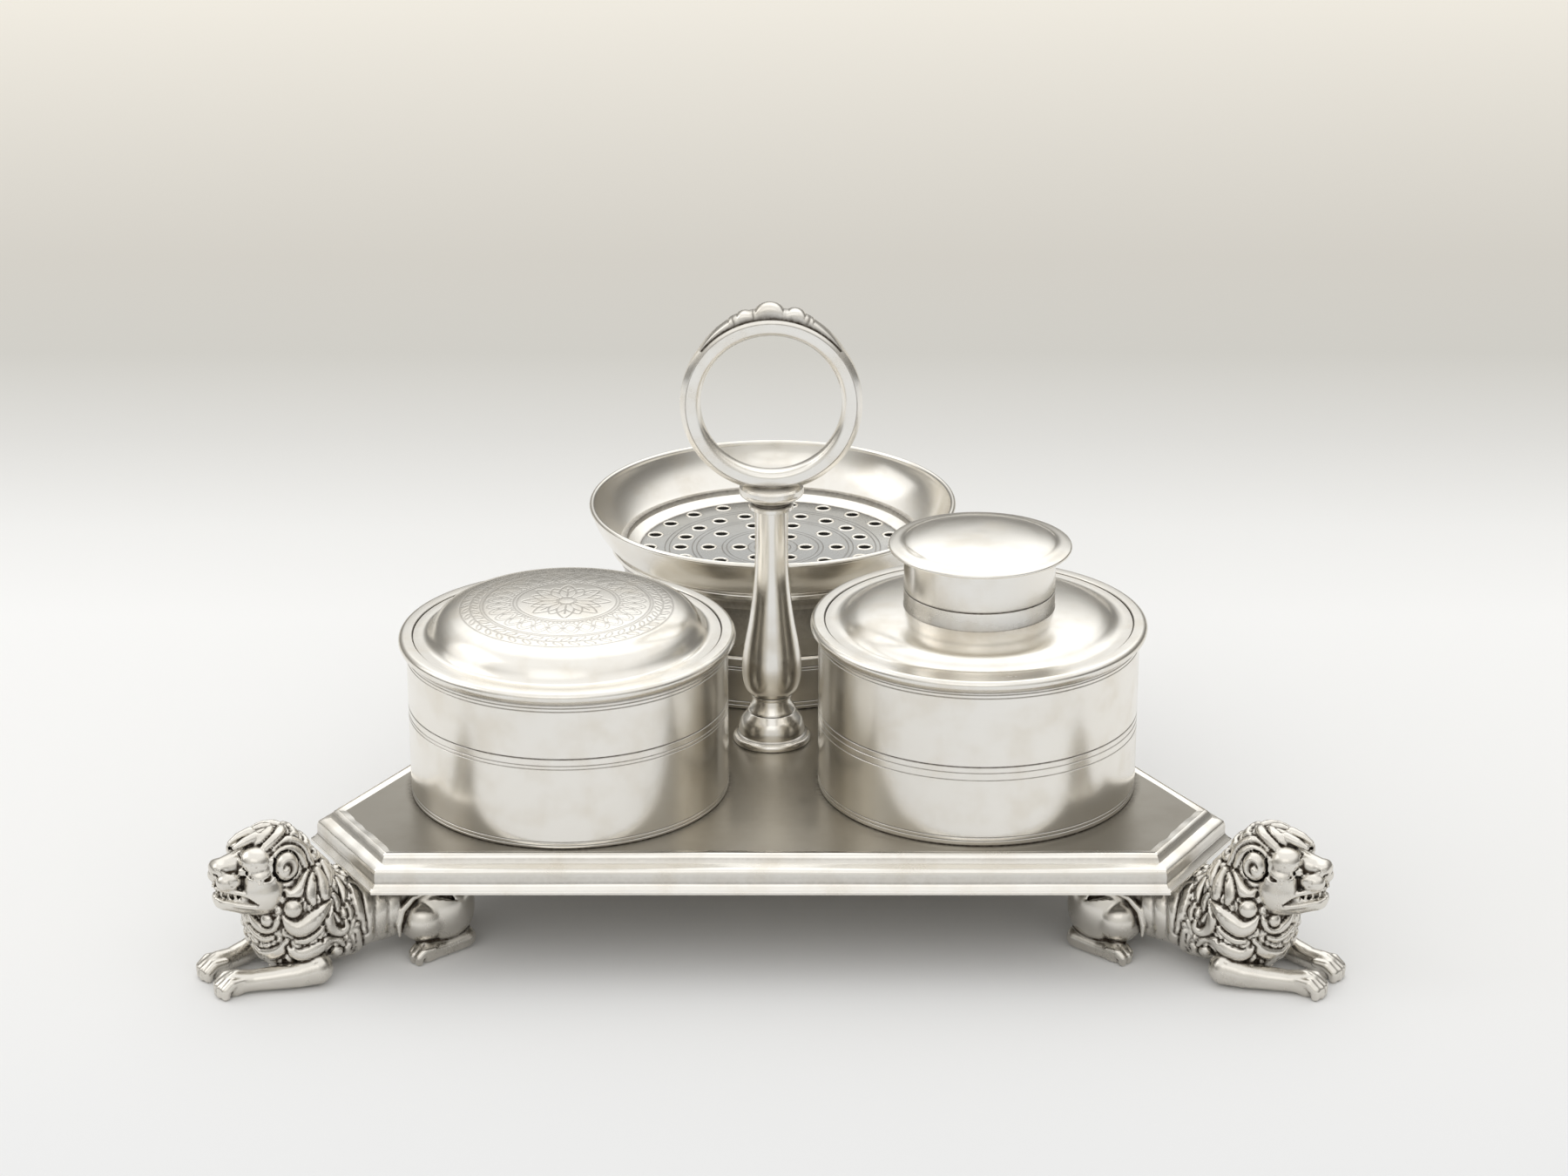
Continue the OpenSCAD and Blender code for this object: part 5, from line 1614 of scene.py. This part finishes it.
@dataclass
class Handle:
    """The turned handle with its finger ring and crest.

    Attributes:
        ring_band: How wide the ring is from its outside inwards.
        bell: Height of the foot's bell.
        lobes: Angle, half width in degrees and height of each lobe of the crest.
        leaf: Angles from the top, and the crest's height there between the lobes.
    """

    palette: Palette
    ring_band: float = 3.4
    bell: float = 5.4
    crest_rows: int = 207
    crest_columns: int = 15
    lobes: tuple = ((-0.9, 9.6, 2.25), (15.2, 7.0, 1.75), (-16.8, 5.8, 1.45))
    leaf: tuple = ((0.0, 1.15), (22.0, 1.15), (25.5, 1.05), (26.5, 0.85), (38.0, 0.5), (51.5, 0.0))

    def build(self) -> None:
        """Makes all its pieces."""
        silver = self.palette.round_work["handle"]
        for name, profile, node in (("stem_foot", self._foot(), "handle_foot"),
                                    ("stem", self._stem(), "handle_baluster"),
                                    ("knop", self._knop(), "handle_knop")):
            dress(turned(name, profile, segments=128), "stand", silver, POLISHED, node)
        dress(self._ring(), "stand", self.palette.flat, POLISHED, "finger_ring")
        dress(self._crest(), "stand", self.palette.flat, POLISHED, "ring_crest")
        for node in ("handle_stud", "stud_washer", "stud_nut"):
            dress_solid(node, self.palette.steel)

    def _foot(self) -> Profile:
        """Section of the foot: a rounded edge under a bell."""
        solid = Solid.of("handle_foot")
        r, z = solid.high[0], solid.foot
        # painted shade under the foot's edge on the deck, in its step and where the stem stands on it
        foot = Profile().to(0, z).to(r - 0.05, z, 0, 0.9).to(r, z + 0.12, 0, 0.4)
        foot.curve(((r, 0.3), (r + 0.02, 0.65), (r - 0.18, 1.0), (r - 0.55, 1.18)), z)
        foot.to(r - 0.68, z + 1.24, 0, 0.6)
        foot.curve(((5.6, 1.5), (5.65, 2.1), (5.5, 3.1), (5.08, 4.1), (4.45, 4.9), (4.1, self.bell - 0.1)), z)
        return foot.to(3.9, z + self.bell, 0, 0.7).to(0, z + self.bell)

    def _stem(self) -> Profile:
        """Section of the baluster: a flaring skirt, a fillet, a full belly and a long taper."""
        z, top = Solid.of("handle_foot").foot, Solid.of("handle_baluster").top
        # painted shade where the stem meets the foot and round its fillet
        stem = Profile().to(0, z + self.bell).to(4.0, z + self.bell, 0, 0.7).to(4.12, z + self.bell + 0.12)
        stem.curve(((4.05, 5.75), (3.72, 6.3), (3.4, 7.0), (3.2, 7.65)), z).to(3.15, z + 7.8, 0, 0.6)
        stem.to(3.4, z + 7.85, 0.1).to(3.45, z + 8.3, 0.1).to(3.2, z + 8.42, 0, 0.6)
        stem.curve(((3.75, 8.7), (4.4, 9.4), (4.82, 10.5), (5.03, 11.9), (5.06, 13.5), (4.93, 15.4),
                    (4.55, 18.0), (3.95, 21.4), (3.38, 25.4), (2.98, 29.5), (2.8, 34.0), (2.78, top - z)), z)
        return stem.to(0, top)

    @staticmethod
    def _knop() -> Profile:
        """Section of the knop and its collar."""
        solid = Solid.of("handle_knop")
        z, r, top = solid.foot, solid.high[0], solid.top
        # painted shade in the knop's collar and at its top
        knop = Profile().to(0, z).to(3.5, z, 0, 0.8).to(3.7, z + 0.12).to(3.7, z + 0.68)
        knop.to(3.5, z + 0.8, 0, 0.4).to(3.15, z + 0.95, 0, 0.9).to(3.2, z + 1.1, 0, 0.5)
        for t in np.linspace(0.03, 1, 12):
            share = (1 - math.cos(math.pi * t ** 0.8)) / 2
            knop.to(3.2 + (r - 3.2) * share, z + 1.1 + (top - z - 2.3) * t)
        knop.to(r, top - 0.9).to(r - 0.1, top - 0.35).to(r - 0.5, top - 0.05)
        return knop.to(3.0, top - 0.05, 0, 0.7).to(0, top - 0.3)

    def _ring(self) -> bpy.types.Object:
        """The finger ring, standing on the knop."""
        solid = Solid.of("finger_ring")
        self.ring_r, self.ring_z = solid.high[0], (solid.foot + solid.top) / 2
        self.ring_t = solid.high[1] - solid.low[1]
        outer, inner, half = self.ring_r, self.ring_r - self.ring_band, self.ring_t / 2
        # painted shade in a line on each face near the ring's outer edge
        rows = [(outer, half - 0.9, 0.3), (outer - 0.75, half - 0.12, 0.35),
                (outer - 0.95, half - 0.02, 0, 0.5), (outer - 1.1, half, 0.1),
                (inner + 0.75, half - 0.02, 0.5), (inner, half - 1.0, 0.6)]
        section = Profile().to(outer, -half + 0.9)
        for r, z, *corner in rows + [(r, -z, *corner) for r, z, *corner in rows[:0:-1]]:
            section.to(r, z, *corner)
        return turned("finger_loop", section, (0.0, self.ring_z), 224, upright=False)

    def _crest(self) -> bpy.types.Object:
        """The scalloped leaf on top of the ring, with painted shade where it meets the ring and between its
        lobes.
        """
        half = self.ring_t / 2 - 0.3
        end = self.leaf[-1][0]
        turns = np.radians(np.linspace(-end, end, self.crest_rows))
        degrees = np.degrees(turns)
        rise = np.interp(abs(degrees), *zip(*self.leaf))
        # painted shade between the lobes
        valley_shade = np.ones_like(rise)
        for middle, width, height in self.lobes:
            inside = np.clip(1 - ((degrees - middle) / width) ** 2, 0, 1) ** 0.5
            rise = np.maximum(rise, height * inside)
            valley_shade = np.minimum(valley_shade, 1 - inside ** 0.5 * 0.95)
        points, dark = [], []
        sweep = np.linspace(0, math.pi, self.crest_columns)
        for turn, top, low in zip(turns, rise, valley_shade):
            for s in sweep:
                out = self.ring_r - 0.12 + (top + 0.12) * math.sin(s) ** 0.55
                y = -half * math.copysign(abs(math.cos(s)) ** 0.7, math.cos(s))
                points.append((out * math.sin(turn), y, self.ring_z + out * math.cos(turn)))
                # painted shade where the crest meets the ring and between its lobes
                join_shade = max(0.0, 1.0 - math.sin(s) ** 0.5 * 1.6)
                dark.append(max(join_shade * 0.9, low * 0.6 if abs(math.degrees(turn)) < 24 else 0.1))
        columns = self.crest_columns
        faces = net(self.crest_rows, columns, False)
        faces += [tuple(range(columns))[::-1], tuple(range(len(points) - columns, len(points)))]
        return make_object("crest", np.array(points), faces, np.array(dark), crease=60)


@dataclass
class Studio:
    """Camera, soft lights, pale paper and the world that the silver mirrors.

    Attributes:
        place, pitch, yaw, roll: The camera's place in millimetres and its turns in degrees.
        lamps: Name, place, size and power of each lamp; all face a point at the height aim, in metres.
        sky: Colours of the world from straight down to straight up.
        front_step, front_share: Where the world's front is brighter, and how much.
        soft_way, soft_edge, soft_tone: Direction, edge and colour of the wide soft light.
        right_step, low_step, right_shade: Where the world's low right side is darker, and how much.
        seen_tone: What the camera sees beyond the paper.
    """

    sensor: float = 36.0
    clip: tuple = (0.01, 20.0)
    aim: float = 0.03
    paper_half: float = 3000.0
    paper_level: float = -0.03
    front_step: tuple = (0.3, 0.9)
    front_share: float = 0.7
    right_step: tuple = (0.15, 0.8)
    low_step: tuple = (0.35, 0.6)
    place: tuple = (3.27, -615.65, 289.09)
    pitch: float = 21.32
    yaw: float = -0.11
    roll: float = -0.04
    lens: float = 90.0
    lamps: tuple = (
        ("left_soft", (-900, 100, 600), (700, 700), 1.2),
        ("front_fill", (-150, -1000, 750), (900, 500), 0.5))
    sky: tuple = (
        (0.0, (0.20, 0.195, 0.18)), (0.20, (0.28, 0.27, 0.25)), (0.36, (0.42, 0.41, 0.385)),
        (0.52, (0.80, 0.79, 0.765)), (0.66, (1.08, 1.07, 1.05)), (1.0, (1.08, 1.08, 1.07)))
    soft_way: tuple = (0.06, 0.60, 0.80)
    soft_edge: tuple = (0.775, 0.93)
    soft_tone: tuple = (1.45, 1.45, 1.43)
    seen_tone: tuple = (0.80, 0.79, 0.76)
    front_tone: tuple = (0.92, 0.91, 0.88)
    right_shade: float = 0.2

    def build(self) -> None:
        """Sets up the whole studio."""
        self._camera()
        self._floor()
        self._world()
        for name, place, size, power in self.lamps:
            self._lamp(name, Vector(place) * MM, size, power)
        bpy.context.scene.view_settings.view_transform = "Standard"

    def _camera(self) -> None:
        """A long lens that looks down at the front of the stand."""
        pitch, yaw, roll = map(math.radians, (self.pitch, self.yaw, self.roll))
        ahead = Vector((math.sin(yaw) * math.cos(pitch), math.cos(yaw) * math.cos(pitch), -math.sin(pitch)))
        right = Vector((math.cos(yaw), -math.sin(yaw), 0.0))
        up = right.cross(ahead)
        right, up = (right * math.cos(roll) + up * math.sin(roll),
                     up * math.cos(roll) - right * math.sin(roll))
        turn = Matrix((right, up, -ahead)).transposed().to_4x4()
        data = bpy.data.cameras.new("view")
        data.lens, data.sensor_width = self.lens, self.sensor
        data.clip_start, data.clip_end = self.clip
        camera = bpy.data.objects.new("view", data)
        camera.matrix_world = Matrix.Translation(Vector(self.place) * MM) @ turn
        bpy.context.scene.collection.objects.link(camera)
        bpy.context.scene.camera = camera

    def _floor(self) -> None:
        """The paper, under and far behind the stand."""
        points = [(x * self.paper_half, y * self.paper_half, self.paper_level)
                  for x, y in ((-1, -1), (1, -1), (1, 1), (-1, 1))]
        floor = make_object("paper", np.array(points), [(0, 1, 2, 3)], outward=False)
        floor.data.materials.append(Backdrop().material())

    def _lamp(self, name: str, place: Vector, size: Row, power: float) -> None:
        """One soft light that faces the stand."""
        data = bpy.data.lights.new(name, "AREA")
        data.shape, data.energy = "RECTANGLE", power
        data.size, data.size_y = (side * MM for side in size)
        lamp = bpy.data.objects.new(name, data)
        lamp.location = place
        lamp.rotation_euler = (Vector((0, 0, self.aim)) - place).to_track_quat("-Z", "Y").to_euler()
        bpy.context.scene.collection.objects.link(lamp)

    def _world(self) -> None:
        """A room that is dark low down and pale overhead, with one wide soft light above and behind."""
        world = bpy.data.worlds.new("room")
        bpy.context.scene.world = world
        graph = emptied(world)
        way = graph.value("ShaderNodeTexCoord", {}, {}, "Generated")
        across, back, height = graph.split(way)
        ramp = graph.value("ShaderNodeValToRGB", {"stops": self.sky}, {0: height})
        front = (back * -1.0).step(*self.front_step) * self.front_share
        sky = graph.mix(front, ramp, rgba(self.front_tone))
        right = across.step(*self.right_step) * (1 - height.step(*self.low_step)) * self.right_shade
        sky = graph.mix(right, sky, rgba(BLACK))
        facing = {0: way, 1: Vector(self.soft_way).normalized()}
        near = graph.value("ShaderNodeVectorMath", {"operation": "DOT_PRODUCT"}, facing, "Value")
        lit = graph.mix(near.step(*self.soft_edge), sky, rgba(self.soft_tone))
        seen = graph.value("ShaderNodeLightPath", {}, {}, "Is Camera Ray")
        colour = graph.mix(seen, lit, rgba(self.seen_tone))
        shader = graph.node("ShaderNodeBackground", {}, {"Color": colour, "Strength": 1.0})
        graph.node("ShaderNodeOutputWorld", {}, {"Surface": shader.outputs[0]})


def set_lions(palette: Palette) -> None:
    """Puts one modelled lion under each corner of the tray."""
    points, faces, dark = Lion().mesh()
    for name, angle in zip(("front_left", "front_right", "back"), CORNERS):
        turn = math.radians(angle)
        cosine, sine = math.cos(turn), math.sin(turn)
        spun = np.column_stack([points[:, 0] * cosine - points[:, 1] * sine,
                                points[:, 0] * sine + points[:, 1] * cosine, points[:, 2]])
        lion = make_object(f"lion_{name}_cast", spun, faces, dark, crease=180, outward=False)
        dress(lion, "stand", palette.cast, CAST_SILVER, f"lion_{name}")


def mixed() -> Palette:
    """Mixes the finishes; the turned ones follow the axes of the pots and of the handle."""
    axes = {kind: Solid.of(f"{kind}_wall").centre for kind in ("box", "ink", "sander")}
    # each pot and the handle get painted contact shade with grime round their feet on the deck
    feet = [(*spot, 26.4) for spot in axes.values()] + [(*AXIS, 6.2)]
    turned_work = {kind: Silver(f"silver_{kind}", Brushing.TURNED, centre=spot).material()
                   for kind, spot in {**axes, "handle": AXIS}.items()}
    return Palette(
        round_work=turned_work,
        flat=Silver("silver_flat", Brushing.STRAIGHT, roughness=0.2, dent_count=55).material(),
        # the deck is a darker copy of the silver: partly dull, oxidised silver, partly painted shade
        deck=Silver("silver_deck", Brushing.STRAIGHT, tone=(0.52, 0.49, 0.43), shade=(0.45, 0.41, 0.345),
                    roughness=0.27, dent_count=45, line_depth=0.001, far_darkening=0.7,
                    feet=tuple(feet)).material(),
        # the sieve is a darker copy of the silver: partly wear, partly a painted dark reflection
        sieve=Silver("silver_sieve", Brushing.TURNED, tone=(0.44, 0.445, 0.44), shade=(0.38, 0.37, 0.35),
                     roughness=0.2, centre=axes["sander"],
                     rings=(3.2, 4.4, 8.2, 9.0, 13.55, 14.35, 18.4, 19.2)).material(),
        cast=Silver("silver_cast", Brushing.CAST, tone=(0.77, 0.74, 0.685), shade=(0.52, 0.49, 0.43),
                    roughness=0.21, dent_depth=0.02, dent_count=300, line_depth=0.004).material(),
        glass=Glass("bottle_glass").material(),
        steel=Silver("steel", Brushing.CAST, tone=(0.45, 0.44, 0.43), roughness=0.35).material())


def main() -> None:
    """Builds the whole stand and its studio."""
    logging.basicConfig(level=logging.INFO, format="%(name)s: %(message)s")
    Studio().build()
    palette = mixed()
    Tray(palette).build()
    WaferBox(palette, "box", (21.9, 22.5, 35.2, 35.8, 37.0, 45.2, 45.8), (37.0,)).build()
    InkPot(palette, "ink", (22.2, 22.8, 32.8, 34.05, 35.1, 47.0, 47.6), (35.1,)).build()
    Sander(palette, "sander", (22.1, 22.8, 28.7, 29.2), ()).build()
    Handle(palette).build()
    set_lions(palette)


if __name__ == "__main__":
    main()
